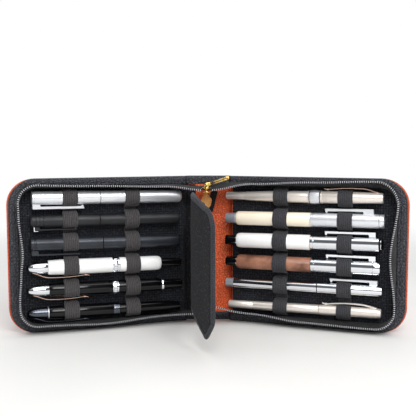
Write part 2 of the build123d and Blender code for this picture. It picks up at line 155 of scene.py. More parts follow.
def rangeNode(tree, value, low, high, toLow=0.0, toHigh=1.0, kind="LINEAR"):
    limits = {"Value": value, "From Min": low, "From Max": high, "To Min": toLow, "To Max": toHigh}
    return addNode(tree, "MapRange", limits, interpolation_type=kind).outputs[0]


def mixTone(tree, factor, first, second):
    return addNode(tree, "Mix", {0: factor, 6: first, 7: second}, data_type="RGBA").outputs[2]


def bumpNode(tree, height, strength, distance):
    return addNode(tree, "Bump", {"Strength": strength, "Distance": distance, "Height": height}).outputs[0]


def newGroup(name, inputs, outputs):
    tree = bpy.data.node_groups.new(name, "ShaderNodeTree")
    tree.interface.new_socket("Place", in_out="INPUT", socket_type="NodeSocketVector")
    for label, value in inputs.items():
        socket = tree.interface.new_socket(label, in_out="INPUT", socket_type="NodeSocketFloat")
        socket.default_value = value
    for label in outputs:
        tree.interface.new_socket(label, in_out="OUTPUT", socket_type="NodeSocketFloat")
    return tree, tree.nodes.new("NodeGroupInput").outputs, tree.nodes.new("NodeGroupOutput")


def useGroup(tree, group, inputs):
    return addNode(tree, "Group", inputs, node_tree=group).outputs


def makePebbleGroup():
    # irregular leather pebbles with a network of creases between them
    tree, given, result = newGroup("leatherPebble", {"Scale": 700.0}, ["Height", "Crease"])
    warp = addNode(tree, "TexNoise", {"Vector": given["Place"], "Scale": 420.0, "Detail": 2.0})
    shift = addNode(tree, "VectorMath", {0: warp.outputs["Color"], "Scale": 0.0016}, operation="SCALE")
    moved = addNode(tree, "VectorMath", {0: given["Place"], 1: shift.outputs[0]}, operation="ADD")
    spots = {"Vector": moved.outputs[0], "Scale": given["Scale"]}
    edge = addNode(tree, "TexVoronoi", spots, feature="DISTANCE_TO_EDGE").outputs["Distance"]
    crown = rangeNode(tree, edge, 0.0, 0.3, kind="SMOOTHSTEP")
    fine = noiseNode(tree, given["Place"], 2600.0, 3.0)
    height = mathNode(tree, "MULTIPLY_ADD", fine, 0.2, crown)
    setInputs(tree, result, {"Height": height, "Crease": rangeNode(tree, edge, 0.16, 0.03)})
    return tree


def makeWeaveGroup():
    # plain weave of crossing threads, on a place given in metres
    tree, given, result = newGroup("clothWeave", {"Threads": 1400.0, "Fuzz": 0.4}, ["Height", "GapShade"])
    split = addNode(tree, "SeparateXYZ", {0: given["Place"]})
    wobble = noiseNode(tree, given["Place"], 900.0)
    waves = []
    for axis in (0, 1):
        count = mathNode(tree, "MULTIPLY", split.outputs[axis], given["Threads"])
        bent = mathNode(tree, "MULTIPLY_ADD", wobble, 1.2, mathNode(tree, "MULTIPLY", count, math.pi))
        waves.append(mathNode(tree, "ABSOLUTE", mathNode(tree, "SINE", bent)))
    over = mathNode(tree, "MULTIPLY", *waves)
    height = mathNode(tree, "MULTIPLY_ADD", wobble, given["Fuzz"], over)
    setInputs(tree, result, {"Height": height, "GapShade": rangeNode(tree, over, 0.45, 0.05)})
    return tree


def makeRibGroup():
    # ribs across a ribbon, with fine strands along it; x runs along the ribbon, y across it
    amounts = {"Ribs": 1100.0, "Strands": 1500.0, "Cross": 0.35}
    tree, given, result = newGroup("ribbonRib", amounts, ["Height", "GrooveShade"])
    split = addNode(tree, "SeparateXYZ", {0: given["Place"]})
    wobble = noiseNode(tree, given["Place"], 420.0)
    turns = [
        mathNode(tree, "MULTIPLY", mathNode(tree, "MULTIPLY", split.outputs[axis], given[count]), math.pi)
        for axis, count in ((0, "Ribs"), (1, "Strands"))
    ]
    turns[0] = mathNode(tree, "MULTIPLY_ADD", wobble, 1.6, turns[0])
    rib, strand = (mathNode(tree, "ABSOLUTE", mathNode(tree, "SINE", turn)) for turn in turns)
    height = mathNode(tree, "MULTIPLY_ADD", strand, given["Cross"], rib)
    woven = mathNode(tree, "ADD", mathNode(tree, "MULTIPLY", strand, given["Cross"]), 1.0)
    groove = rangeNode(tree, mathNode(tree, "MULTIPLY", rib, woven), 0.75, 0.05)
    setInputs(tree, result, {"Height": height, "GrooveShade": groove})
    return tree


def makePatchSpeckGroup():
    # broad soft patches and small specks, for colour and roughness that vary over a surface; on leather the
    # light specks are painted highlights
    tree, given, result = newGroup("handlingWear", {"Patch": 40.0, "Speck": 900.0}, ["Patches", "Specks"])
    broad = noiseNode(tree, given["Place"], given["Patch"], 4.0)
    small = noiseNode(tree, given["Place"], given["Speck"])
    setInputs(tree, result, {
        "Patches": rangeNode(tree, broad, 0.35, 0.65),
        "Specks": rangeNode(tree, small, 0.55, 0.64),
    })
    return tree


def makeBrushGroup():
    # hair lines that run round a turned metal part; x runs along its axis
    tree, given, result = newGroup("turnedBrush", {"Lines": 3000.0}, ["Height", "Streak"])
    squeeze = addNode(tree, "VectorMath", {0: given["Place"], 1: (1.0, 0.03, 0.03)}, operation="MULTIPLY")
    lines = noiseNode(tree, squeeze.outputs[0], given["Lines"], 3.0)
    broad = noiseNode(tree, squeeze.outputs[0], 300.0)
    setInputs(tree, result, {"Height": lines, "Streak": mathNode(tree, "MULTIPLY", lines, broad)})
    return tree


pebble = makePebbleGroup()
weave = makeWeaveGroup()
ribs = makeRibGroup()
patchSpeck = makePatchSpeckGroup()
brush = makeBrushGroup()


# Materials, from shared groups
def startMaterial(name, attribute="place"):
    # a material with its shader and the place that its textures follow
    material = bpy.data.materials.new(name)
    material.use_nodes = True
    tree = material.node_tree
    tree.nodes.clear()
    shader = addNode(tree, "BsdfPrincipled")
    addNode(tree, "OutputMaterial", {"Surface": shader.outputs[0]})
    if attribute:
        place = addNode(tree, "Attribute", attribute_name=attribute).outputs["Vector"]
    else:
        place = addNode(tree, "TexCoord").outputs["Object"]
    return material, tree, shader, place


def makeLeather(name, light, dark, pebbleScale=620.0, bump=0.6, creases=0.45, shine=0.4):
    material, tree, shader, place = startMaterial(name)
    grain = useGroup(tree, pebble, {"Place": place, "Scale": pebbleScale})
    mottle = useGroup(tree, patchSpeck, {"Place": place, "Patch": 35.0, "Speck": pebbleScale * 2})
    tone = mixTone(tree, mottle["Patches"], light, scaled(light, 0.88))
    # painted shade: the creases between the pebbles are darkened towards the dark tone, by creases
    tone = mixTone(tree, mathNode(tree, "MULTIPLY", grain["Crease"], creases), tone, dark)
    # painted highlight: small specks lifted to half again the light tone, as glints on the grain
    tone = mixTone(tree, mathNode(tree, "MULTIPLY", mottle["Specks"], 0.3), tone, scaled(light, 1.5))
    setInputs(tree, shader, {
        "Base Color": tone,
        "Roughness": rangeNode(tree, grain["Crease"], 0.0, 1.0, 0.42, 0.6),
        "Specular IOR Level": shine,
        "Normal": bumpNode(tree, grain["Height"], bump, 0.0003),
    })
    return material


def makeCloth(
    name, light, dark, threads=1500.0, bump=0.7, sheen=0.15, specks=0.35, attribute="place", speckScale=800.0,
):
    material, tree, shader, place = startMaterial(name, attribute)
    woven = useGroup(tree, weave, {"Place": place, "Threads": threads})
    mottle = useGroup(tree, patchSpeck, {"Place": place, "Patch": 60.0, "Speck": speckScale})
    # painted shade: the gaps between the threads are darkened towards the dark tone
    tone = mixTone(tree, woven["GapShade"], light, dark)
    tone = mixTone(tree, mathNode(tree, "MULTIPLY", mottle["Specks"], specks), tone, scaled(light, 2.6))
    tone = mixTone(tree, mathNode(tree, "MULTIPLY", mottle["Patches"], 0.3), tone, dark)
    setInputs(tree, shader, {
        "Base Color": tone, "Roughness": 0.9, "Specular IOR Level": 0.2, "Sheen Weight": sheen,
        "Sheen Roughness": 0.5, "Normal": bumpNode(tree, woven["Height"], bump, 0.0002),
    })
    return material


def makeRibbon(name, light, dark, ribCount=1000.0, strands=1300.0, bump=0.8):
    material, tree, shader, place = startMaterial(name)
    ribbed = useGroup(tree, ribs, {"Place": place, "Ribs": ribCount, "Strands": strands})
    mottle = useGroup(tree, patchSpeck, {"Place": place, "Patch": 120.0, "Speck": 1500.0})
    # painted shade: the grooves between the ribs are darkened towards the dark tone
    tone = mixTone(tree, ribbed["GrooveShade"], light, dark)
    tone = mixTone(tree, mathNode(tree, "MULTIPLY", mottle["Specks"], 0.4), tone, scaled(light, 2.0))
    setInputs(tree, shader, {
        "Base Color": tone, "Roughness": rangeNode(tree, mottle["Patches"], 0.0, 1.0, 0.7, 0.9),
        "Specular IOR Level": 0.2, "Sheen Weight": 0.1,
        "Normal": bumpNode(tree, ribbed["Height"], bump, 0.00025),
    })
    return material


def makeMetal(name, light, dark, roughness=(0.15, 0.3), bump=0.05, metallic=1.0):
    material, tree, shader, place = startMaterial(name)
    brushed = useGroup(tree, brush, {"Place": place})
    mottle = useGroup(tree, patchSpeck, {"Place": place, "Patch": 90.0})
    streak = mathNode(tree, "MULTIPLY", brushed["Streak"], 0.5)
    mixed = mathNode(tree, "MULTIPLY_ADD", mottle["Patches"], 0.5, streak)
    setInputs(tree, shader, {
        "Base Color": mixTone(tree, brushed["Streak"], light, dark),
        "Roughness": rangeNode(tree, mixed, 0.0, 1.0, *roughness),
        "Metallic": metallic, "Normal": bumpNode(tree, brushed["Height"], bump, 0.00005),
    })
    return material


def makeLacquer(name, light, dark, roughness=(0.2, 0.35), coat=0.6, metallic=0.0, shine=0.4):
    material, tree, shader, place = startMaterial(name)
    mottle = useGroup(tree, patchSpeck, {"Place": place, "Patch": 70.0, "Speck": 2200.0})
    setInputs(tree, shader, {
        "Base Color": mixTone(tree, mottle["Patches"], light, dark),
        "Roughness": rangeNode(tree, mottle["Patches"], 0.0, 1.0, *roughness),
        "Specular IOR Level": shine, "Coat Weight": coat, "Coat Roughness": 0.08, "Metallic": metallic,
        "Normal": bumpNode(tree, noiseNode(tree, place, 1800.0), 0.03, 0.00005),
    })
    return material


# each finish: its maker, its light and dark screen colours, and what differs from the maker's settings
finishTable = {
    "orangeLeather": (
        makeLeather, (230, 96, 42), (146, 46, 18), dict(pebbleScale=430.0, bump=1.0, creases=0.75, shine=0.5),
    ),
    "tanLeather": (makeLeather, (216, 154, 84), (150, 96, 48), dict(bump=0.3)),
    "blackFacing": (
        makeLeather, (56, 58, 66), (8, 8, 11), dict(pebbleScale=400.0, bump=1.0, creases=1.0, shine=0.5),
    ),
    "liningCloth": (makeCloth, (40, 42, 48), (10, 10, 13), dict(threads=430.0, specks=0.8, speckScale=620.0)),
    "pageCloth": (
        makeCloth, (32, 32, 36), (8, 8, 10),
        dict(threads=820.0, bump=1.0, specks=0.95, speckScale=520.0, sheen=0.04),
    ),
    # the piping is lighter than the page: painted highlight of the padded edge catching light
    "pagePiping": (makeCloth, (60, 61, 66), (34, 35, 39), dict(threads=700.0, specks=0.4, sheen=0.08)),
    "greyBoard": (
        makeCloth, (150, 148, 144), (120, 118, 114), dict(threads=400.0, sheen=0.0, attribute=None),
    ),
    "whiteFoam": (makeCloth, (226, 225, 220), (196, 195, 190), dict(threads=300.0, sheen=0.0, specks=0.1)),
    "zipTape": (makeRibbon, (18, 18, 21), (7, 7, 9), dict(ribCount=500.0, strands=1400.0)),
    # one elastic in lit and shaded copies: the left leaf's loops are painted lighter and the right leaf's
    # painted darker, for the light that falls more on the left leaf
    "elastic": (makeRibbon, (72, 69, 70), (10, 9, 11), dict(ribCount=620.0, bump=1.0)),
    "darkElastic": (makeRibbon, (62, 62, 66), (8, 8, 10), dict(ribCount=620.0, bump=1.0)),
    "blackThread": (makeRibbon, (84, 86, 92), (46, 47, 52), dict(ribCount=2600.0)),
    "orangeThread": (makeRibbon, (214, 110, 62), (140, 60, 30), dict(ribCount=2600.0)),
    # painted sheen: the coil's dark nylon is given a light grey colour for the silvery sheen along it
    "coil": (makeMetal, (196, 196, 200), (160, 160, 165), dict(roughness=(0.3, 0.45), metallic=0.1)),
    "brass": (makeMetal, (236, 200, 116), (184, 140, 66), dict(roughness=(0.14, 0.26))),
    "satinSilver": (
        makeMetal, (236, 238, 242), (216, 219, 225), dict(roughness=(0.3, 0.38), bump=0.02, metallic=0.75),
    ),
    "steel": (
        makeMetal, (176, 181, 189), (146, 151, 160), dict(roughness=(0.36, 0.44), bump=0.02, metallic=0.6),
    ),
    "champagne": (
        makeMetal, (240, 232, 224), (224, 214, 204), dict(roughness=(0.3, 0.4), bump=0.02, metallic=0.55),
    ),
    "chrome": (makeMetal, (236, 238, 242), (222, 225, 230), dict(roughness=(0.05, 0.1), bump=0.0)),
    "roseGold": (makeMetal, (214, 184, 170), (176, 142, 126), dict(roughness=(0.15, 0.25))),
    "gunmetal": (makeMetal, (96, 100, 108), (66, 69, 76), dict(roughness=(0.2, 0.3))),
    "matteBlack": (makeLacquer, (34, 35, 38), (26, 27, 30), dict(roughness=(0.4, 0.52), coat=0.0)),
    "graphite": (
        makeLacquer, (50, 54, 61), (38, 41, 47), dict(roughness=(0.32, 0.42), coat=0.1, metallic=0.4),
    ),
    "glossBlack": (makeLacquer, (10, 10, 12), (7, 7, 9), dict(roughness=(0.1, 0.16), coat=0.35, shine=0.15)),
    "whiteLacquer": (makeLacquer, (247, 247, 246), (242, 242, 241), {}),
    "creamLacquer": (makeLacquer, (252, 240, 218), (248, 234, 210), {}),
    "brownWood": (makeLacquer, (178, 124, 98), (108, 68, 50), dict(roughness=(0.35, 0.5), coat=0.2)),
}
finishes = {
    name: maker(name, screenColour(light), screenColour(dark), **settings)
    for name, (maker, light, dark, settings) in finishTable.items()
}
print("materials ready")


# Mesh helpers
def buildPiece(name, points, faces, material, place, sharpAngle=50.0):
    # place says where each point lies for the textures, in metres
    mesh = bpy.data.meshes.new(name)
    mesh.from_pydata([tuple(point) for point in points], [], faces)
    mesh.materials.append(finishes[material])
    attribute = mesh.attributes.new("place", "FLOAT_VECTOR", "POINT")
    attribute.data.foreach_set("vector", [part for spot in place for part in spot])
    mesh.polygons.foreach_set("use_smooth", [True] * len(faces))
    mesh.validate()
    mesh.update()
    mesh.set_sharp_from_angle(angle=math.radians(sharpAngle))
    piece = bpy.data.objects.new(name, mesh)
    bpy.context.scene.collection.objects.link(piece)
    return piece


def gridFaces(rows, columns, closed=False, start=0):
    # four-sided faces between rows of points; a closed row joins its last point to its first
    faces = []
    for row in range(start, start + (rows - 1) * columns, columns):
        for column in range(columns if closed else columns - 1):
            after = (column + 1) % columns
            faces.append((row + column, row + after, row + columns + after, row + columns + column))
    return faces


def addTube(points, faces, rows):
    # a tube of equal rows with closed ends, added to a mesh that may hold more
    around = len(rows[0])
    first = len(points)
    points += [point for row in rows for point in row]
    faces += gridFaces(len(rows), around, closed=True, start=first)
    faces.append(tuple(reversed(range(first, first + around))))
    faces.append(tuple(range(len(points) - around, len(points))))


def runLengths(points):
    lengths = [0.0]
    for near, far in zip(points, points[1:]):
        lengths.append(lengths[-1] + (far - near).length)
    return lengths


def gridPiece(name, rows, material, place=None, sharpAngle=50.0):
    # one tube; without places of their own, the textures follow its length and girth
    points, faces = [], []
    addTube(points, faces, rows)
    if place is None:
        starts = runLengths([row[0] for row in rows])
        place = [(along, across, 0.0) for along, row in zip(starts, rows) for across in runLengths(row)]
    return buildPiece(name, points, faces, material, place, sharpAngle)


def panelPiece(name, front, back, material, place):
    # two sheets of rows joined round their border into one closed panel
    rows, columns = len(front), len(front[0])
    points = [point for sheet in (front, back) for row in sheet for point in row]
    size = rows * columns
    faces = gridFaces(rows, columns)
    faces += [tuple(index + size for index in reversed(face)) for face in gridFaces(rows, columns)]
    border = [(row, 0) for row in range(rows - 1)]
    border += [(rows - 1, column) for column in range(columns - 1)]
    border += [(row, columns - 1) for row in range(rows - 1, 0, -1)]
    border += [(0, column) for column in range(columns - 1, 0, -1)]
    index = [row * columns + column for row, column in border]
    for near, far in zip(index, index[1:] + index[:1]):
        faces.append((near, far, far + size, near + size))
    return buildPiece(name, points, faces, material, place)


def leafPanel(name, side, low, high, material, frontAt, columns=64, rows=44):
    # a closed sheet between two depths, with the leaf's rounded outer corners
    radius = caseShape["cornerRadius"] - (leafLength - high[0])
    front, back, place = [], [], []
    for column in range(columns + 1):
        u = low[0] + (high[0] - low[0]) * math.sin(math.pi / 2 * column / columns)
        beyond = max(0.0, u - (high[0] - radius))
        cut = radius - math.sqrt(max(radius * radius - beyond * beyond, 0.0))
        levels = [low[2] + cut + (high[2] - low[2] - 2 * cut) * row / rows for row in range(rows + 1)]
        front.append([leafPoint(side, u, frontAt(u, z), z) for z in levels])
        back.append([leafPoint(side, u, low[1], z) for z in levels])
        place += [(u, z, 0.0) for z in levels]
    return panelPiece(name, front, back, material, place * 2)


def faceOutwards(piece):
    # every closed shell of the piece shows its outside
    bpy.context.view_layer.objects.active = piece
    piece.select_set(True)
    bpy.ops.object.mode_set(mode="EDIT")
    bpy.ops.mesh.select_all(action="SELECT")
    bpy.ops.mesh.normals_make_consistent(inside=False)
    bpy.ops.object.mode_set(mode="OBJECT")
    piece.select_set(False)


def settle(piece, body, slotName, *replaced):
    faceOutwards(piece)
    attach(piece, body)
    if replaced:
        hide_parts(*replaced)


def settleSet(pieces, body, slotName, node):
    # the first of the pieces replaces the node for them all
    for index, piece in enumerate(pieces):
        settle(piece, body, slotName, *([] if index else [node]))


def settleBend(piece, side, start, end, slotName, *replaced):
    # a piece between the spine and its leaf, faced outwards and baked where it stands
    faceOutwards(piece)
    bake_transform(piece)
    if replaced:
        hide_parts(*replaced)


def smoothStep(value):
    value = min(1.0, max(0.0, value))
    return value * value * (3 - 2 * value)


def between(table, where):
    # smooth value at a place from a short list of (place, value)
    for (low, lowValue), (high, highValue) in zip(table, table[1:]):
        if where <= high:
            return lowValue + (highValue - lowValue) * smoothStep((where - low) / (high - low))
    return table[-1][1]


def curveThrough(table, where):
    # a smooth line through the (place, value) pairs of a table
    index = next((index for index, item in enumerate(table[1:-1]) if where <= item[0]), len(table) - 2)
    (low, lowValue), (high, highValue) = table[index], table[index + 1]
    before = table[index - 1] if index else (2 * low - high, 2 * lowValue - highValue)
    after = table[index + 2] if index + 2 < len(table) else (2 * high - low, 2 * highValue - lowValue)
    startSlope = (highValue - before[1]) / (high - before[0])
    endSlope = (after[1] - lowValue) / (after[0] - low)
    span = high - low
    t = (where - low) / span
    return (
        (2 * t ** 3 - 3 * t * t + 1) * lowValue + (t ** 3 - 2 * t * t + t) * span * startSlope
        + (3 * t * t - 2 * t ** 3) * highValue + (t ** 3 - t * t) * span * endSlope
    )


def bendBetween(first, firstWay, second, secondWay, pull, share):
    # a point of the smooth bend that leaves one place and meets another
    reach = (second - first).length * pull
    rest = 1 - share
    return (
        first * rest ** 3 + (first + firstWay * reach) * (3 * share * rest ** 2)
        + (second - secondWay * reach) * (3 * share * share * rest) + second * share ** 3
    )


def edgeRun(start, sideInset, endInset):
    # an open U along a leaf's free edges, from the hinge end of its upper edge to that of its lower edge
    # gives (u, z, outward u, outward z, share of the run)
    radius = caseShape["cornerRadius"] - sideInset
    end = leafLength - endInset
    half = middleZ - sideInset
    bend = end - radius
    straight, rounding = caseShape["straightSteps"], caseShape["roundingSteps"]
    turns = [math.pi / 2 * step / rounding for step in range(rounding)]
    level = [(bend - start) * step / straight for step in range(straight + 1)]
    run = [(start + along, middleZ + half, 0.0, 1.0) for along in level[:-1]]
    for turn in turns:
        out, up = math.sin(turn), math.cos(turn)
        run.append((bend + radius * out, middleZ + half - radius + radius * up, out, up))
    for step in range(straight):
        run.append((end, middleZ + (half - radius) * (1 - 2 * step / straight), 1.0, 0.0))
    for turn in turns:
        out, down = math.cos(turn), math.sin(turn)
        run.append((bend + radius * out, middleZ - half + radius - radius * down, out, -down))
    run += [(bend - along, middleZ - half, 0.0, -1.0) for along in level]
    last = len(run) - 1
    return [(*item, index / last) for index, item in enumerate(run)]


def pointAt(points, lengths, distance):
    # place, direction and number of the stretch at a distance along a line of points
    last = len(points) - 2
    index = next((index for index in range(last) if distance <= lengths[index + 1]), last)
    span = lengths[index + 1] - lengths[index]
    share = (distance - lengths[index]) / span if span else 0.0
    near, far = points[index], points[index + 1]
    return near.lerp(far, share), (far - near).normalized(), index


def beside(items, index):
    # the items before and after one, or itself at an end
    return items[max(index - 1, 0)], items[min(index + 1, len(items) - 1)]


def ring(centre, first, second, radius, around):
    turns = [2 * math.pi * corner / around for corner in range(around)]
    return [centre + first * (math.cos(turn) * radius) + second * (math.sin(turn) * radius) for turn in turns]


def ringPlace(along, radius, around):
    return [(along, 2 * math.pi * corner / around * radius, 0.0) for corner in range(around)]


stitchShape = {
    "profile": [   # share of the length, of the thickness and of the lift
        (-0.5, 0.25, -0.9), (-0.36, 0.75, 0.0), (0.0, 1.0, 0.25), (0.36, 0.75, 0.0), (0.5, 0.25, -0.9),
    ],
    "around": 6,
    "slant": 0.12,
}


def stitchMesh(name, lines, length, pitch, thickness, material):
    # rows of separate thread stitches; lines holds (points, upward directions)
    points, faces, place = [], [], []
    around = stitchShape["around"]
    for line, ups in lines:
        lengths = runLengths(line)
        for step in range(int((lengths[-1] - length) / pitch) + 1):
            centre, direction, index = pointAt(line, lengths, length / 2 + step * pitch)
            up = ups[index]
            sideways = direction.cross(up).normalized()
            direction = (direction + sideways * stitchShape["slant"]).normalized()
            rows = []
            for share, swell, sink in stitchShape["profile"]:
                middle = centre + direction * (share * length) + up * (sink * thickness / 2)
                rows.append(ring(middle, sideways, up, thickness / 2 * swell, around))
                place += ringPlace(share * length + step * pitch, thickness / 2 * swell, around)
            addTube(points, faces, rows)
    return buildPiece(name, points, faces, material, place)


# Camera at the photograph's viewing angle
cameraView = {
    "distance": 0.7055,      # in front of Y = 0
    "height": 0.1767,
    "pitchDown": 5.49,       # degrees
    "lens": 63.43,
    "sensor": 36.0,
}


def addCamera():
    data = bpy.data.cameras.new("photoCamera")
    data.lens = cameraView["lens"]
    data.sensor_width = cameraView["sensor"]
    data.clip_start = 0.01
    camera = bpy.data.objects.new("photoCamera", data)
    camera.location = (0.0, -cameraView["distance"], cameraView["height"])
    camera.rotation_euler = (math.radians(90 - cameraView["pitchDown"]), 0.0, 0.0)
    bpy.context.scene.collection.objects.link(camera)
    bpy.context.scene.camera = camera


# Covers: leather wrapped round a padded board
coverShape = {
    "turnIn": 2.4 * mm,          # how far the leather turns in over the board
    "turnDepth": 0.9 * mm,
    "crown": 0.9 * mm,
    "rimRounding": 0.7 * mm,
    "backRounding": 1.6 * mm,
    "crownWidth": 9.0 * mm,
}


def makeCover(side):
    rim, edge = coverShape["rimRounding"], coverShape["backRounding"]
    wide, crown, back = coverShape["crownWidth"], coverShape["crown"], coverBack
    turned = coverShape["turnIn"]
    # distance in from the leaf's edge and height above its board
    steps = [
        (turned, -coverShape["turnDepth"]), (turned, -0.1 * mm), (1.6 * mm, 0.0), (rim, 0.0),
        (rim * 0.3, -rim * 0.3),
        (0.0, -rim), (0.0, back + edge), (edge * 0.3, back + edge * 0.3), (edge, back),
        (edge + wide * 0.3, back - crown * 0.5), (edge + wide * 0.65, back - crown * 0.88),
        (edge + wide, back - crown),
    ]
    rows, place = [], []
    for inset, v in steps:
        run = edgeRun(coverLow[0], inset, inset)
        rows.append([leafPoint(side, u, v, z) for u, z, *_ in run])
        depth = v if inset < edge else back - inset
        place += [(u, z, depth) for u, z, *_ in run]
    piece = gridPiece(f"{side}_cover_skin", rows, "orangeLeather", place=place, sharpAngle=60)
    settle(piece, f"{side}_leaf", "orange_leather", f"{side}_cover_leather")


# Inside of the leaves: the boards stay as the frame has them, under foam and a slightly rippled lining
insideShape = {
    "foamRounding": 0.35 * mm,
    "foamEdge": 4.0 * mm,
    "ripple": 0.12 * mm,
    "ripplesPerMetre": 90,
}


def paintBoard(node):
    for slot in frame["nodes"][node].material_slots:
        slot.material = finishes["greyBoard"]


def makeInside(side):
    paintBoard(f"{side}_cover_board")
    low, high = leafBox(f"{side}_cover_foam")

    def foamAt(u, z):
        edge = min(u - low[0], high[0] - u, z - low[2], high[2] - z)
        return high[1] - insideShape["foamRounding"] * (1 - smoothStep(edge / insideShape["foamEdge"]))

    def clothAt(u, z):
        count = insideShape["ripplesPerMetre"]
        ripple = noise.noise(Vector((u * count, z * count, sides[side])))
        return liningHigh[1] + ripple * insideShape["ripple"]

    foam = leafPanel(f"{side}_foam_pad", side, low, high, "whiteFoam", foamAt, columns=30, rows=20)
    settle(foam, f"{side}_leaf", "white_foam", f"{side}_cover_foam")
    lining = leafPanel(f"{side}_lining_cloth", side, liningLow, liningHigh, "liningCloth", clothAt)
    settle(lining, f"{side}_leaf", "lining_cloth", f"{side}_lining")


# Facing: the black stitched border round the inside
facingShape = {
    "rows": [   # share of the way in from the outer edge, and height in shares of the facing's own
        (0.0, 0.0), (0.0, 0.5), (0.05, 0.85), (0.14, 1.0), (0.24, 0.9), (0.34, 1.1), (0.5, 1.25),
        (0.66, 1.1), (0.76, 0.9), (0.86, 1.0), (0.96, 0.8), (1.0, 0.4), (1.0, 0.0),
    ],
    "wrap": 1.7 * mm,            # how far it turns down over the leaf's edge
    "wrapStart": 0.3 * mm,
    "wrapSwell": 0.3 * mm,
    "stitchRows": (0.24, 0.76),
    "stitchHeight": 0.9,
    "stitchLift": 0.1 * mm,
    "stitchLength": 2.3 * mm,
    "stitchPitch": 3.4 * mm,
    "stitchThickness": 0.8 * mm,
}


def facingStitches(name, lines, upward):
    lines = [(line, [upward] * len(line)) for line in lines]
    return stitchMesh(
        name, lines, facingShape["stitchLength"], facingShape["stitchPitch"],
        facingShape["stitchThickness"], "blackThread",
    )


def makeFacing(side):
    swell, wrap = facingShape["wrapSwell"], facingShape["wrap"]
    outer = edgeRun(facingLow[0], 0.0, facingReveal)
    inner = edgeRun(facingLow[0], zipSideInset, zipEndInset)
    sections = []
    for (u, z, outU, outZ, _), (innerU, innerZ, *_) in zip(outer, inner):
        turned = abs(outZ)    # 1 along the sides, 0 at the leaf's end
        section = [
            leafPoint(side, u + outU * swell * out * turned, down * turned, z + outZ * swell * out)
            for down, out in ((-wrap, 0.3), (-wrap, 1.0), (-facingShape["wrapStart"], 1.0))
        ]
        section += [
            leafPoint(side, u + (innerU - u) * share, facingHeight * height, z + (innerZ - z) * share)
            for share, height in facingShape["rows"]
        ]
        sections.append(section)
    border = gridPiece(f"{side}_facing_border", sections, "blackFacing")
    settle(border, f"{side}_leaf", "black_facing", f"{side}_edge_facing")
    height = facingHeight * facingShape["stitchHeight"] + facingShape["stitchLift"]
    lines = []
    for share in facingShape["stitchRows"]:
        run = edgeRun(facingLow[0], zipSideInset * share, facingReveal + (zipEndInset - facingReveal) * share)
        lines.append([leafPoint(side, u, height, z) for u, z, *_ in run])
    stitches = facingStitches(f"{side}_facing_stitches", lines, leafDirections(side)[1])
    settle(stitches, f"{side}_leaf", "black_facing")


# Zip: a free tape that waves, with a coil along its edge
zipShape = {
    "thickness": 0.8 * mm,
    "levels": [0.0, 0.12, 0.3, 0.5, 0.7, 0.86, 1.0],
    "lean": {   # how far the free edge leans outwards, in mm, by share of the run from the upper hinge end
        "left": [
            (0.0, -0.6), (0.15, 1.2), (0.3, 3.2), (0.4, 1.6), (0.49, -1.2), (0.545, 0.6), (0.6, 2.0),
            (0.76, -1.0), (0.88, 0.9), (1.0, -2.0),
        ],
        "right": [
            (0.0, 1.6), (0.12, 4.0), (0.24, 5.6), (0.36, 2.2), (0.5, -3.6), (0.62, 0.8), (0.78, 1.4),
            (0.9, 0.4), (1.0, -3.6),
        ],
    },
    "leanPower": 1.7,
    "toothPitch": 1.9 * mm,
    "toothReach": 0.62 * mm,     # half the width of a turn of the coil
    "toothWire": 0.4 * mm,
    "toothAround": 6,
    "toothBends": 7,
    "toothTurn": (-20, 220),     # where a turn of the coil begins and how far it goes, in degrees
    "coilLift": 0.3 * mm,
    "cordRadius": 0.55 * mm,
    "cordAround": 8,
}
tapeHalf = zipShape["thickness"] / 2
tapeRun = edgeRun(tapeStart, zipSideInset + tapeHalf, zipEndInset + tapeHalf)


def tapePlace(side, item, height, offset):
    # a point of the standing tape: its height above the lining and its offset through the thickness
    u, z, outU, outZ, share = item
    lean = between(zipShape["lean"][side], share) * mm * (height / tapeHeight) ** zipShape["leanPower"]
    shift = lean + offset
    return leafPoint(side, u + outU * shift, height, z + outZ * shift)


def makeTape(side):
    levels = zipShape["levels"]
    rows = []
    for item in tapeRun:
        outer = [tapePlace(side, item, level * tapeHeight, tapeHalf) for level in levels]
        inner = [tapePlace(side, item, level * tapeHeight, -tapeHalf) for level in reversed(levels)]
        rows.append(outer + inner)
    piece = gridPiece(f"{side}_zip_ribbon", rows, "zipTape")
    settle(piece, f"{side}_leaf", "zip_tape_cloth", f"{side}_zip_tape")


def coilMesh(name, spine, outs, ups):
    # the coil's turns, each bent round the edge of the tape
    lengths = runLengths(spine)
    reach, wire = zipShape["toothReach"], zipShape["toothWire"]
    around, last = zipShape["toothAround"], zipShape["toothBends"] - 1
    begin, sweep = zipShape["toothTurn"]
    points, faces, place = [], [], []
    teeth = round(lengths[-1] / zipShape["toothPitch"])
    for tooth in range(teeth):
        distance = (tooth + 0.5) * lengths[-1] / teeth
        centre, _, index = pointAt(spine, lengths, distance)
        share = (distance - lengths[index]) / max(lengths[index + 1] - lengths[index], 1e-9)
        out = outs[index].lerp(outs[index + 1], share).normalized()
        up = ups[index].lerp(ups[index + 1], share).normalized()
        direction = out.cross(up).normalized()
        rows = []
        for bend in range(last + 1):
            turn = math.radians(begin + sweep * bend / last)
            way = out * math.cos(turn) + up * math.sin(turn)
            middle = centre + way * reach + direction * (wire * 0.5 * (bend / last - 0.5))
            thick = wire * (0.7 if bend in (0, last) else 1.0)
            rows.append(ring(middle, way, direction, thick, around))
            place += ringPlace(distance, thick, around)
        addTube(points, faces, rows)
    return buildPiece(name, points, faces, "coil", place)


def cordMesh(name, path):
    rows, normal = [], None
    for index, point in enumerate(path):
        behind, ahead = beside(path, index)
        direction = (ahead - behind).normalized()
        if normal is None:
            normal = direction.orthogonal().normalized()
        normal = (normal - direction * normal.dot(direction)).normalized()
        sideways = direction.cross(normal)
        rows.append(ring(point, normal, sideways, zipShape["cordRadius"], zipShape["cordAround"]))
    return gridPiece(name, rows, "zipTape")


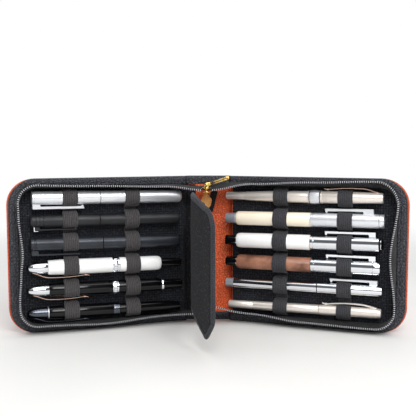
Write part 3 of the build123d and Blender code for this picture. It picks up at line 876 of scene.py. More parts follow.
def makeCoil(side):
    along, inward = leafDirections(side)
    spine = [tapePlace(side, item, tapeHeight + zipShape["coilLift"], 0.0) for item in tapeRun]
    outs = [(along * outU + Vector((0, 0, outZ))).normalized() for _, _, outU, outZ, _ in tapeRun]
    piece = coilMesh(f"{side}_zip_coil", spine, outs, [inward] * len(spine))
    settle(piece, f"{side}_leaf", "zip_teeth_metal", f"{side}_zip_teeth")
    settle(cordMesh(f"{side}_zip_cord", spine), f"{side}_leaf", "zip_tape_cloth")


# Pens: each turned from stations of (distance from the inner end, radius) in mm
def section(material, *stations, flutes=0):
    return {"finish": material, "stations": stations, "flutes": flutes}


def barClip(finish, start, end, width, root, top, bar, plain=False):
    # root is the length of the block that holds the bar, top its height and bar the bar's thickness
    ends = {"kind": "bar", "finish": finish, "from": start, "to": end}
    return {**ends, "width": width, "root": root, "top": top, "bar": bar, "plain": plain}


def curvedClip(finish, start, end, width, top, bar):
    return {
        "kind": "curved", "finish": finish, "from": start, "to": end, "width": width, "top": top, "bar": bar,
    }


penShapes = {
    "left_pen_1": {
        "slot": "satin_silver",
        "barrel": [section(
            "satinSilver", (0, 2.6), (0.5, 4.2), (1.6, 5.3), (3.6, 5.9), (6, 6.0), (77.0, 6.0), (77.3, 5.7),
        )],
        "cap": [section(
            "satinSilver", (77.7, 5.7), (78.0, 6.1), (136.0, 6.1), (136.2, 5.9), (136.6, 5.9), (136.8, 6.1),
            (138.0, 6.1), (138.4, 5.7),
        )],
        "clip": barClip("satinSilver", 91.6, 138.0, width=4.0, root=7.0, top=3.9, bar=2.4),
    },
    "left_pen_2": {
        "slot": "matte_black_lacquer",
        "barrel": [section(
            "matteBlack", (0, 3.4), (0.8, 4.6), (3, 4.9), (8, 5.1), (20, 5.2), (75.6, 5.2), (75.9, 4.9),
        )],
        "cap": [section(
            "matteBlack", (76.2, 4.9), (76.5, 5.4), (126.0, 5.4), (126.2, 5.0), (126.9, 5.0), (127.1, 5.4),
            (129.4, 5.4), (129.6, 5.0), (130.3, 5.0), (130.5, 5.4), (132.8, 5.4), (133.0, 5.0),
            (133.7, 5.0), (133.9, 5.4), (136.6, 5.4), (138.0, 4.6),
        )],
        "clip": barClip("matteBlack", 96.0, 135.0, width=3.4, root=5.0, top=3.0, bar=1.4),
        "trim": barClip("chrome", 131.0, 135.2, width=3.6, root=1.0, top=3.9, bar=0.8),
    },
    "left_pen_3": {
        "slot": "graphite_metal",
        "barrel": [section(
            "graphite", (0, 4.0), (0.8, 4.8), (3, 5.4), (10, 5.7), (25, 5.8), (73.0, 5.8), (73.3, 5.5),
        )],
        "cap": [section(
            "graphite", (73.6, 5.5), (73.9, 5.9), (133.4, 5.9), (133.7, 5.4), (134.8, 5.4), (135.1, 5.9),
            (137.6, 5.9), (138.4, 5.2),
        )],
        "clip": barClip("graphite", 94.0, 137.6, width=3.8, root=6.2, top=4.4, bar=1.5, plain=True),
    },
    "left_pen_4": {
        "slot": "white_lacquer",
        "barrel": [
            section("glossBlack", (0, 3.0), (0.6, 3.8), (2.0, 4.0), (20.4, 4.0)),
            section(
                "whiteLacquer", (20.0, 4.0), (20.1, 5.2), (21.0, 6.0), (22.8, 6.5), (26, 6.7), (59.6, 6.7),
            ),
        ],
        "cap": [
            section("chrome", (59.9, 6.6), (60.2, 7.0), (61.4, 7.0), (61.7, 6.8)),
            section("chrome", (61.7, 6.6), (61.9, 6.8), (63.4, 6.95), (64.9, 6.8), (65.1, 6.6), flutes=14),
            section("chrome", (65.1, 6.8), (65.3, 7.0), (66.0, 7.0), (66.2, 6.8)),
            section("whiteLacquer", (66.2, 6.8), (66.6, 6.9), (112.0, 6.9), (123.8, 6.4), (124.4, 6.1)),
            section(
                "chrome", (124.4, 5.5), (124.8, 5.7), (131.6, 5.4), (137.4, 4.7), (140.9, 3.9), (142.6, 2.9),
                (143.4, 1.4),
            ),
        ],
        "clip": curvedClip("roseGold", 87.0, 138.0, width=2.6, top=2.9, bar=0.9),
    },
    "left_pen_5": {
        "slot": "gloss_black_lacquer",
        "barrel": [
            section("glossBlack", (0, 3.6), (0.8, 4.3), (18.0, 4.6), (18.4, 4.6)),
            section("chrome", (18.4, 4.6), (18.7, 5.9), (20.2, 5.9), (20.5, 5.7)),
            section("glossBlack", (20.5, 5.7), (22.0, 5.9), (30.0, 6.0), (61.2, 6.0)),
        ],
        "cap": [
            section("chrome", (61.5, 5.8), (61.8, 6.3), (62.8, 6.3), (63.0, 6.1)),
            section("chrome", (63.0, 5.9), (63.2, 6.1), (64.6, 6.25), (66.0, 6.1), (66.2, 5.9), flutes=14),
            section("chrome", (66.2, 6.1), (66.4, 6.3), (67.0, 6.3), (67.2, 6.1)),
            section("glossBlack", (67.2, 6.1), (67.6, 6.2), (113.0, 6.2), (124.0, 5.8), (124.6, 5.5)),
            section(
                "chrome", (124.6, 5.1), (125.0, 5.3), (132.4, 5.0), (138.4, 4.4), (142.2, 3.5), (144.0, 2.5),
                (144.8, 1.2),
            ),
        ],
        "clip": curvedClip("roseGold", 89.0, 138.8, width=2.6, top=2.9, bar=0.9),
    },
    "left_pen_6": {
        "slot": "dark_gunmetal",
        "barrel": [section("glossBlack", (0, 3.4), (0.8, 4.2), (10.0, 4.9), (24.0, 5.3), (58.6, 5.4))],
        "cap": [
            section(
                "gunmetal", (59.0, 5.5), (59.3, 6.2), (60.6, 6.2), (60.8, 6.0), (62.6, 6.0), (62.8, 6.2),
                (64.4, 6.2), (64.6, 6.1),
            ),
            section("glossBlack", (64.6, 6.1), (65.0, 6.2), (114.0, 6.1), (122.9, 5.6), (123.3, 5.4)),
            section("satinSilver", (123.3, 5.3), (123.5, 5.5), (124.0, 5.5), (124.2, 5.3)),
            section(
                "gunmetal", (124.2, 5.2), (131.4, 4.9), (137.0, 4.3), (140.4, 3.4), (141.9, 2.4),
                (142.4, 1.2),
            ),
        ],
        "clip": curvedClip("gunmetal", 87.0, 136.0, width=2.6, top=2.6, bar=1.1),
    },
    "right_pen_1": {
        "slot": "satin_silver",
        "barrel": [
            section("champagne", (0, 2.5), (0.4, 3.2), (1.0, 3.5), (18.8, 3.8)),
            section(
                "champagne", (18.8, 3.9), (19.2, 4.1), (40.0, 4.9), (64.0, 5.4), (77.6, 5.5), (78.2, 5.3),
            ),
        ],
        "cap": [
            section("champagne", (78.2, 5.5), (78.5, 5.9), (79.4, 5.9), (79.7, 5.2)),
            section("gunmetal", (79.7, 5.2), (80.2, 5.2)),
            section(
                "satinSilver", (80.2, 5.3), (80.6, 5.9), (84.8, 6.3), (89.0, 5.9), (89.4, 5.3), flutes=11,
            ),
            section("gunmetal", (89.4, 5.2), (89.9, 5.2)),
            section("champagne", (89.9, 5.2), (90.2, 5.9), (91.5, 5.9), (91.8, 5.5)),
            section("champagne", (91.8, 5.5), (92.1, 5.6), (112.0, 5.5), (144.6, 4.7), (145.6, 4.4)),
        ],
        "clip": curvedClip("roseGold", 93.0, 142.0, width=2.8, top=2.8, bar=1.3),
    },
    "right_pen_2": {
        "slot": "cream_lacquer",
        "barrel": [
            section("steel", (0, 4.0), (0.3, 4.7), (0.8, 4.8), (9.0, 4.9), (9.4, 4.6)),
            section("satinSilver", (9.4, 4.6), (9.6, 4.9), (10.6, 4.9), (10.8, 4.6)),
            section(
                "creamLacquer", (10.8, 4.8), (11.0, 5.9), (12.0, 6.4), (13.6, 6.55), (80.6, 6.55),
                (81.2, 6.3),
            ),
        ],
        "cap": [
            section(
                "satinSilver", (81.4, 6.0), (81.7, 6.4), (83.4, 6.4), (83.6, 6.15), (84.2, 6.15), (84.4, 6.4),
                (142.6, 6.4), (142.9, 6.0),
            ),
            section(
                "satinSilver", (143.0, 5.9), (143.2, 6.2), (146.6, 6.2), (147.2, 5.8), (147.3, 4.6),
                (147.1, 4.2), (147.1, 0.6),
            ),
        ],
        "clip": barClip("satinSilver", 94.0, 138.0, width=3.4, root=9.0, top=4.2, bar=2.4),
    },
    "right_pen_3": {
        "slot": "white_lacquer",
        "barrel": [
            section("glossBlack", (0, 4.0), (0.3, 4.6), (0.8, 4.7), (10.2, 4.7)),
            section("chrome", (10.2, 4.6), (10.4, 4.9), (11.2, 4.9), (11.4, 4.6)),
            section(
                "whiteLacquer", (11.4, 4.9), (11.6, 6.2), (12.8, 6.8), (14.6, 7.0), (80.6, 7.0), (81.2, 6.7),
            ),
        ],
        "cap": [
            section(
                "chrome", (81.4, 6.2), (81.7, 6.8), (84.0, 6.8), (84.2, 6.55), (84.8, 6.55), (85.0, 6.7),
                (143.0, 6.7), (143.3, 6.3),
            ),
            section("glossBlack", (143.4, 5.2), (143.6, 5.3), (145.4, 5.2), (146.4, 4.4), (147.0, 3.0)),
            section("chrome", (144.4, 5.2), (144.6, 5.35), (145.0, 5.35), (145.2, 5.2)),
        ],
        "clip": barClip("chrome", 94.0, 140.4, width=3.4, root=6.0, top=4.2, bar=2.3),
    },
    "right_pen_4": {
        "slot": "brown_lacquer",
        "barrel": [
            section("glossBlack", (0, 3.8), (0.3, 4.3), (0.8, 4.4), (10.2, 4.4)),
            section("roseGold", (10.2, 4.4), (10.4, 4.8), (11.2, 4.8), (11.4, 4.5)),
            section(
                "brownWood", (11.4, 4.8), (11.6, 5.8), (12.8, 6.4), (14.8, 6.7), (81.2, 6.7), (81.8, 6.4),
            ),
        ],
        "cap": [section(
            "chrome", (82.0, 6.0), (82.3, 6.5), (84.6, 6.5), (84.8, 6.3), (85.4, 6.3), (85.6, 6.5),
            (137.4, 6.5), (137.6, 6.35), (138.0, 6.35), (138.2, 6.5), (142.8, 6.5), (144.2, 5.9),
        )],
        "clip": barClip("chrome", 95.0, 140.4, width=3.4, root=6.0, top=4.2, bar=2.3),
    },
    "right_pen_5": {
        "slot": "bright_chrome",
        "barrel": [
            section("steel", (0, 3.9), (0.3, 4.3), (7.4, 4.4), (7.8, 4.1)),
            section("chrome", (7.8, 4.3), (8.0, 4.9), (9.0, 5.0), (87.4, 5.0), (87.7, 4.7)),
        ],
        "cap": [section("chrome", (88.1, 4.7), (88.4, 5.2), (145.6, 5.2), (146.4, 4.8))],
        "clip": barClip("satinSilver", 99.0, 142.4, width=3.2, root=7.0, top=4.0, bar=1.9),
    },
    "right_pen_6": {
        "slot": "warm_silver",
        "barrel": [section(
            "champagne", (0, 3.2), (0.3, 3.6), (1.0, 3.7), (24.0, 3.9), (24.3, 3.7), (24.6, 4.0), (60.0, 4.3),
            (86.6, 4.4), (86.9, 4.2),
        )],
        "cap": [section("champagne", (87.2, 4.2), (87.5, 4.6), (137.0, 4.6), (142.4, 4.2), (143.2, 3.8))],
        "clip": curvedClip("champagne", 90.0, 139.0, width=2.8, top=3.4, bar=1.3),
    },
}
clipShape = {                    # in mm
    "sink": 0.5,                 # how far a clip's root goes into the cap
    "plainBelow": 12.0,          # a shorter bar has no bent end
    "barRoot": [(0.0, 0.7), (0.4, 0.1), (0.9, 0.0)],       # distance and how far below its top
    "curveSteps": 24,
    "curveRise": 0.3,            # share of a curved clip over which its foot rises to the cap
    "tipLength": 5.0,
    # distance from the free end, then what is added to the underside and to the top
    "curveTip": [(4.2, -0.5, 0.3), (3.4, -0.6, 0.4), (2.4, -0.2, 0.1), (1.2, 0.1, 0.3), (0.0, 0.7, 0.7)],
    "taper": 0.25,
    "endWidth": 0.8,
    "bevel": 0.3,
}
turningShape = {"around": 40, "facetsPerFlute": 8, "fluteDepth": 0.28 * mm, "leastRadius": 0.02 * mm}


def penRadiusAt(shape, distance):
    # radius in mm of the turned pen at a distance in mm from its inner end
    best = 0.0
    for part in shape["barrel"] + shape["cap"]:
        for (near, nearRadius), (far, farRadius) in zip(part["stations"], part["stations"][1:]):
            if near <= distance <= far and far > near:
                best = max(best, nearRadius + (farRadius - nearRadius) * (distance - near) / (far - near))
    return best


def capRadiusOf(shape):
    return max(radius for part in shape["cap"] for _, radius in part["stations"])


def penFrame(name):
    # the pen's inner end, its axis towards the outer end, and the two directions across it
    side = name.split("_")[0]
    direction = Vector(joints[f"{name}_slide"]["axis"]).normalized() * -sides[side]
    vertices = [vertex.co for vertex in frame["nodes"][name].data.vertices]
    nearest = min(point.dot(direction) for point in vertices)
    rim = [point for point in vertices if point.dot(direction) < nearest + 0.01 * mm]
    low, high = (Vector([pick(point[axis] for point in rim) for axis in range(3)]) for pick in (min, max))
    inward = leafDirections(side)[1]
    upward = inward.cross(direction) * (-1 if inward.cross(direction).z < 0 else 1)
    return {"start": (low + high) / 2, "axis": direction, "inward": inward, "upward": upward.normalized()}


def lathe(name, place, stations, material, around=turningShape["around"], flutes=0):
    # a turned part along place's axis; flutes swell between its first and last station
    rows, spots = [], []
    around = flutes * turningShape["facetsPerFlute"] or around
    for index, (distance, radius) in enumerate(stations):
        distance, radius = distance * mm, radius * mm
        fluted = flutes and 0 < index < len(stations) - 1
        row = []
        for corner in range(around):
            turn = 2 * math.pi * corner / around
            offset = place["inward"] * math.cos(turn) + place["upward"] * math.sin(turn)
            swell = turningShape["fluteDepth"] * abs(math.sin(flutes / 2 * turn)) if fluted else 0.0
            reach = max(radius + swell, turningShape["leastRadius"])
            row.append(place["start"] + place["axis"] * distance + offset * reach)
            spots.append((distance, math.cos(turn) * radius, math.sin(turn) * radius))
        rows.append(row)
    return gridPiece(name, rows, material, place=spots, sharpAngle=35)


def clipLine(shape, clip):
    # the clip from its root at the outer end to its free end
    # gives distance, underside and top above the cap's side, in mm
    length = clip["to"] - clip["from"]
    sink = penRadiusAt(shape, clip["to"]) - capRadiusOf(shape) - clipShape["sink"]
    top, bar = clip["top"], clip["bar"]
    if clip["kind"] == "bar":
        root, under = clip["root"], top - bar
        line = [(distance, sink, top - below) for distance, below in clipShape["barRoot"]]
        line += [(root, sink, top), (root + 0.5, under, top)]
        if length - root <= clipShape["plainBelow"] or clip["plain"]:
            return line + [(length, under, top)]
        return line + [
            (length * 0.5, under, top), (length - 3.0, under, top), (length - 2.4, 0.5, top),
            (length - 1.6, 0.3, top), (length - 1.0, 0.7, top), (length - 0.4, top - 1.2, top - 0.1),
            (length, top - 0.7, top - 0.4),
        ]
    line = []
    for step in range(clipShape["curveSteps"] + 1):
        share = step / clipShape["curveSteps"]
        foot = sink + 0.2 + (0.3 - sink) * smoothStep(share / clipShape["curveRise"])
        middle = foot + (top - bar / 2 - 0.5) * math.sin(math.pi * min(1.0, 0.9 * share + 0.02)) ** 0.8
        thick = bar / 2 * (1.0 - 0.3 * share)
        line.append(((length - clipShape["tipLength"]) * share, middle - thick, middle + thick))
    _, under, over = line[-1]
    return line + [(length - back, under + low, over + high) for back, low, high in clipShape["curveTip"]]


def clipMesh(name, place, shape, clip, toward):
    capRadius, line = capRadiusOf(shape), clipLine(shape, clip)
    rows, spots = [], []
    length = line[-1][0]
    for offset, under, over in line:
        half = clip["width"] / 2 * (1.0 - clipShape["taper"] * offset / length)
        half *= clipShape["endWidth"] if offset in (0.0, length) else 1.0
        middle, deep = (under + over) / 2, (over - under) / 2
        bevel = min(clipShape["bevel"], deep * 0.5)
        corners = [
            (-half, -deep + bevel), (-half, deep - bevel), (-half + bevel, deep), (half - bevel, deep),
            (half, deep - bevel), (half, -deep + bevel), (half - bevel, -deep), (-half + bevel, -deep),
        ]
        base = place["start"] + place["axis"] * ((clip["to"] - offset) * mm)
        row = []
        for flat, high in corners:
            reach = (capRadius + middle + high) * mm
            row.append(base + place["upward"] * (toward * reach) + place["inward"] * (flat * mm))
            spots.append((offset * mm, flat * mm, high * mm))
        rows.append(row)
    return gridPiece(name, rows, clip["finish"], place=spots, sharpAngle=40)


def makePen(name, shape):
    place = penFrame(name)
    toward = sides[name.split("_")[0]]
    pieces = [
        lathe(f"{name}_{group}_{number}", place, part["stations"], part["finish"], flutes=part["flutes"])
        for group in ("barrel", "cap") for number, part in enumerate(shape[group], 1)
    ]
    for label in ("clip", "trim"):
        if label in shape:
            pieces.append(clipMesh(f"{name}_{label}", place, shape, shape[label], toward))
    settleSet(pieces, name, shape["slot"], name)


# Elastic loops: one ribbon in each column, arched over the pens and sewn down between them
elasticShape = {
    "thickness": 0.75 * mm,
    "clearance": 0.3 * mm,
    "archPowers": [2.0, 2.1, 2.2, 2.35, 2.5, 2.7, 3.0, 3.3, 3.6],   # the roundest that clears the pen is used
    "archSteps": 15,             # on each side of the pen
    "spread": 3.6 * mm,          # how far an arch's foot stands beside the pen
    "valley": 1.3 * mm,          # half the least flat between two loops
    "underClip": 0.14 * mm,      # room between the pen and a ribbon that runs under its clip
    "clipSteps": 12,
    "kneeDrop": 2.6 * mm,        # how far below the pen's axis the ribbon turns out to its foot
    "kneeLeast": 0.5 * mm,
    "clipBefore": 6.0 * mm,      # how far before a clip's free end the ribbon makes room for it
    "radiusWithin": (-7, -4, 0, 4, 7),     # mm along the pen, where its thickest radius is looked for
    "slack": 0.3 * mm,
    "pinch": 1.0 * mm,           # how much narrower the ribbon is where it is sewn down
    "edgeCurl": 0.35 * mm,
    "closest": 0.15 * mm,        # nearer points of the line are left out
    "overhang": 0.6 * mm,        # and those that turn further back than this
    "profile": [
        (-1, -0.5), (-1, 0.5), (-0.95, 1), (-0.5, 1), (0, 1), (0.5, 1), (0.95, 1), (1, 0.5), (1, -0.5),
        (0.95, -1), (-0.95, -1),
    ],
}


def clipSide(stand, radius, foot, base):
    # the ribbon under a clip: close round the pen, straight down beside it, then out to its foot
    hug = radius + elasticShape["underClip"] + elasticShape["thickness"] / 2
    line, steps = [], elasticShape["clipSteps"]
    for step in range(steps + 1):
        turn = math.pi / 2 * (1 - step / steps)
        line.append((hug * math.cos(turn), stand + hug * math.sin(turn)))
    knee = max(stand - elasticShape["kneeDrop"], base + elasticShape["kneeLeast"])
    line.append((hug, (stand + knee) / 2))
    for step in range(1, steps + 1):
        share = step / steps
        out = hug + (foot - hug) * share ** 1.8
        line.append((out, knee + (base - knee) * math.sin(math.pi / 2 * share) ** 1.2))
    return line


def archClears(points, power, half, top, base):
    for across, height in points:
        if abs(across) >= half or height >= top:
            return False
        if (abs(across) / half) ** power + (max(0.0, height - base) / (top - base)) ** power > 1:
            return False
    return True


def archSide(stand, radius, half, base, clipped):
    # the ribbon from over the pen down to its foot beside it
    thick, steps = elasticShape["thickness"], elasticShape["archSteps"]
    grow = elasticShape["clearance"] + thick / 2
    top = stand + radius + (elasticShape["underClip"] + thick / 2 if clipped else grow + 0.1 * mm)
    tests = []
    for step in range(7):
        turn = math.pi / 2 * step / 6
        tests.append(((radius + grow) * math.cos(turn), stand + (top - 0.05 * mm - stand) * math.sin(turn)))
    powers = elasticShape["archPowers"]
    power = next((power for power in powers if archClears(tests, power, half, top, base)), powers[-1])
    line = []
    for step in range(steps + 1):
        turn = math.pi / 2 * step / steps
        height = base + (top - base) * abs(math.cos(turn)) ** (2 / power)
        line.append((half * math.sin(turn) ** (2 / power), height))
    return line


def penSpanAt(name, u):
    # height of the pen's axis, its stand above the lining, its radius and whether its clip is there,
    # where a ribbon crosses it
    place, shape = penFrame(name), penShapes[name]
    along, inward = leafDirections(name.split("_")[0])
    offset = place["start"] - hingeOf(name.split("_")[0])
    distance = (u - offset.dot(along)) / place["axis"].dot(along)
    centre = place["start"] + place["axis"] * distance
    radius = max(penRadiusAt(shape, distance / mm + shift) for shift in elasticShape["radiusWithin"]) * mm
    clipped = shape["clip"]["from"] * mm < distance + elasticShape["clipBefore"]
    return centre.z, offset.dot(inward), radius, clipped


def elasticLine(side, u, low, high):
    # the ribbon's middle line from its lower to its upper end, as (z, height above the lining)
    thick, valley, spread = elasticShape["thickness"], elasticShape["valley"], elasticShape["spread"]
    base = thick / 2
    least = elasticShape["clearance"] + thick / 2 + elasticShape["slack"]
    spans = sorted(penSpanAt(name, u) for name in penShapes if name.startswith(side))
    line = [(low, base)]
    for index, (z, stand, radius, clipped) in enumerate(spans):
        foot = low if index == 0 else (spans[index - 1][0] + z) / 2
        head = high if index == len(spans) - 1 else (z + spans[index + 1][0]) / 2
        halves = []
        for sign, room in ((-1, z - foot), (1, head - z)):
            half = max(min(room - valley, radius + spread), radius + least)
            if clipped and sign == sides[side]:
                halves.append(clipSide(stand, radius, half, base))
            else:
                halves.append(archSide(stand, radius, half, base, clipped))
        line += [(z - across, height) for across, height in reversed(halves[0])]
        line += [(z + across, height) for across, height in halves[1][1:]]
    line.append((high, base))
    clean = [line[0]]
    for place in line[1:]:
        apart = math.dist(place, clean[-1]) > elasticShape["closest"]
        if apart and place[0] > clean[-1][0] - elasticShape["overhang"]:
            clean.append(place)
    return clean


def makeElastic(side, place):
    node = f"{side}_{place}_elastic"
    low, high = leafBox(node)
    u, halfWidth = (low[0] + high[0]) / 2, (high[0] - low[0]) / 2
    thick = elasticShape["thickness"] / 2
    line = elasticLine(side, u, low[2], high[2])
    top = max(height for _, height in line)
    lengths = runLengths([Vector((*spot, 0.0)) for spot in line])
    rows, spots = [], []
    for index, (z, v) in enumerate(line):
        behind, ahead = beside(line, index)
        slope = Vector((ahead[0] - behind[0], ahead[1] - behind[1])).normalized()
        normal = Vector((-slope.y, slope.x))
        half = halfWidth - elasticShape["pinch"] * (1 - smoothStep(v / (0.55 * top)))
        row = []
        for across, deep in elasticShape["profile"]:
            curl = elasticShape["edgeCurl"] * abs(across) ** 4 * smoothStep((v / top - 0.6) * 2.5)
            lift = deep * thick - curl * 0.3
            row.append(leafPoint(side, u + across * half, v + normal.y * lift, z + normal.x * lift))
            spots.append((across * half, lengths[index], deep * thick))
        rows.append(row)
    # painted light: the lit copy on the left leaf, the shaded copy on the right
    finish = "elastic" if side == "left" else "darkElastic"
    piece = gridPiece(f"{side}_{place}_loops", rows, finish, place=spots)
    settle(piece, f"{side}_leaf", "elastic_ribbon", node)


# Spine and folds
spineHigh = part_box("spine_outer_leather")[1]
innerLow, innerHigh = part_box("spine_inner_leather")
stripLow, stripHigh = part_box("spine_edge_facings")
spineShape = {
    "skin": 1.4 * mm,            # thickness of the leather on the back
    "backRounding": 0.6 * mm,
    "rounding": 0.4 * mm,
    "slabColumns": 12,
    "slabRows": 44,
    "ripple": 0.08 * mm,
    "ripplesPerMetre": 70,
    "facingInset": 1.0 * mm,
    "facingDeep": 1.6 * mm,      # how far the facings turn down towards the back
    "facingSteps": 24,
    "foldInset": 3.0 * mm,       # how far in from the spine's sides the folds begin
    "foldSteps": 12,
    "foldPitch": 4.0 * mm,
    "foldPull": 0.4,
    "foldBend": (2.0 * mm, 2.5 * mm),      # how far to either side of the hinge a fold bends
    "foldOverLeaf": 1.0 * mm,    # how far the folds' leather, strip and facings go over the leaf
    "stripOverLeaf": 1.2 * mm,
    "facingOverLeaf": 0.5 * mm,
    "stripHeights": (0.1 * mm, -0.7 * mm),
    "stripInset": 1.6 * mm,
    "stripLook": {"left": ("pageCloth", "divider_cloth"), "right": ("orangeLeather", "orange_leather")},
}
spineReach = spineHigh.x - spineShape["foldInset"]
facingDepth = stripHigh.y - stripLow.y
# name, outer height, inner height and outward way of the facings that cross the spine and the folds
facingEdges = [("upper", caseHeight, caseHeight - zipSideInset, 1), ("lower", 0.0, zipSideInset, -1)]


def slab(name, low, high, material, rounding=spineShape["rounding"], front=-1):
    # a flat strip whose front face and long edges are softened; front is -1 where it faces the camera
    countX, countZ, count = spineShape["slabColumns"], spineShape["slabRows"], spineShape["ripplesPerMetre"]
    frontY, backY = (low.y, high.y) if front < 0 else (high.y, low.y)
    rows, spots = [], []
    for step in range(countZ + 1):
        z = low.z + (high.z - low.z) * (step / countZ)
        row = []
        for column in range(countX + 1):
            x = low.x + (high.x - low.x) * column / countX
            edge = min(x - low.x, high.x - x, z - low.z, high.z - z)
            sink = rounding * (1 - smoothStep(edge / (2.5 * rounding) + 0.15))
            ripple = (noise.noise(Vector((x * count, z * count, 3.0))) + 1) * spineShape["ripple"]
            row.append(Vector((x, frontY - front * (sink + ripple), z)))
            spots.append((x, z, 0.0))
        row += [Vector((high.x, backY, z)), Vector((low.x, backY, z))]
        spots += [(high.x, z, mm), (low.x, z, mm)]
        rows.append(row)
    return gridPiece(name, rows, material, place=spots)


def makeSpine():
    paintBoard("spine_stiffener")
    back = slab(
        "spine_back_leather", Vector((-spineReach, spineHigh.y - spineShape["skin"], 0.0)),
        Vector((spineReach, spineHigh.y, caseHeight)), "orangeLeather", spineShape["backRounding"], front=1,
    )
    settle(back, "spine", "orange_leather", "spine_outer_leather")
    strip = slab("spine_inner_strip", innerLow, innerHigh, "orangeLeather")
    settle(strip, "spine", "orange_leather", "spine_inner_leather")
    reach, deepY = stripHigh.x - spineShape["facingInset"], spineHigh.y - spineShape["facingDeep"]
    swell, steps = facingShape["wrapSwell"], spineShape["facingSteps"]
    replaced = ["spine_edge_facings"]
    for name, outer, inner, away in facingEdges:
        profile = [
            (deepY, outer + away * 0.1 * mm), (deepY, outer + away * swell),
            (stripHigh.y + 0.3 * mm, outer + away * swell),
        ]
        profile += [
            (stripHigh.y - facingDepth * height, outer + (inner - outer) * share)
            for share, height in facingShape["rows"]
        ]
        crossings = [-reach + 2 * reach * step / steps for step in range(steps + 1)]
        sections = [[Vector((x, y, z)) for y, z in profile] for x in crossings]
        piece = gridPiece(f"spine_{name}_facing", sections, "blackFacing")
        settle(piece, "spine", "black_facing", *replaced)
        replaced = []
        y = stripHigh.y - facingDepth * facingShape["stitchHeight"] - facingShape["stitchLift"]
        levels = [outer + (inner - outer) * share for share in facingShape["stitchRows"]]
        lines = [[Vector((-reach, y, z)), Vector((reach, y, z))] for z in levels]
        settle(facingStitches(f"spine_{name}_stitches", lines, Vector((0, -1, 0))), "spine", "black_facing")


def settleFold(piece, side, slotName, *replaced):
    hinge = hingeOf(side)
    spineSide, leafSide = spineShape["foldBend"]
    start = Vector((hinge.x - sides[side] * spineSide, hinge.y, 0))
    settleBend(piece, side, start, leafPoint(side, leafSide, 0, 0), slotName, *replaced)


def foldPiece(name, inner, outer, zLow, zHigh, material):
    # a strip whose two skins bend from the spine to the leaf
    count = max(2, int((zHigh - zLow) / spineShape["foldPitch"]))
    rows, spots = [], []
    for step in range(count + 1):
        z = zLow + (zHigh - zLow) * step / count
        row = [Vector((point.x, point.y, z)) for point in inner + outer[::-1]]
        rows.append(row)
        spots += [(z, along, 0.0) for along in runLengths(row)]
    return gridPiece(name, rows, material, place=spots)


def makeFolds(side):
    sign, along = sides[side], leafDirections(side)[0]
    steps, skin, inset = spineShape["foldSteps"], spineShape["skin"], spineShape["stripInset"]

    def bend(spineX, spineY, u, v):
        # a smooth line from the spine's side to the leaf
        first, second = Vector((sign * spineX, spineY, 0)), leafPoint(side, u, v, 0)
        way, pull = Vector((sign, 0, 0)), spineShape["foldPull"]
        return [bendBetween(first, way, second, along, pull, step / steps) for step in range(steps + 1)]

    leafStart = coverLow[0] + spineShape["foldOverLeaf"]
    outer = bend(spineReach, spineHigh.y, leafStart, coverBack)
    inner = bend(spineReach, spineHigh.y - skin, leafStart, coverBack + skin)
    piece = foldPiece(f"{side}_fold_skin", inner, outer, 0.0, caseHeight, "orangeLeather")
    settleFold(piece, side, "orange_leather", f"{side}_fold_leather")
    stripX, leafStart = innerHigh.x - spineShape["facingInset"], liningLow[0] + spineShape["stripOverLeaf"]
    frontHeight, backHeight = spineShape["stripHeights"]
    front = bend(stripX, innerLow.y, leafStart, frontHeight)
    back = bend(stripX, innerHigh.y, leafStart, backHeight)
    finish, slotName = spineShape["stripLook"][side]
    piece = foldPiece(f"{side}_fold_strip", back, front, inset, caseHeight - inset, finish)
    settleFold(piece, side, slotName)
    swell = facingShape["wrapSwell"]
    stripX, leafStart = stripHigh.x - spineShape["facingInset"], facingLow[0] + spineShape["facingOverLeaf"]
    for name, outer, inner, away in facingEdges:
        lanes = [
            (stripHigh.y - lift * mm, lift * mm, outer + away * z)
            for lift, z in ((-1.6, 0.1 * mm), (-1.6, swell), (-0.3, swell))
        ]
        lanes += [
            (stripHigh.y - facingDepth * height, facingHeight * height, outer + (inner - outer) * share)
            for share, height in facingShape["rows"]
        ]
        lines = [
            [Vector((point.x, point.y, z)) for point in bend(stripX, spineY, leafStart, v)]
            for spineY, v, z in lanes
        ]
        piece = gridPiece(f"{side}_{name}_fold_facing", list(zip(*lines)), "blackFacing")
        settleFold(piece, side, "black_facing")


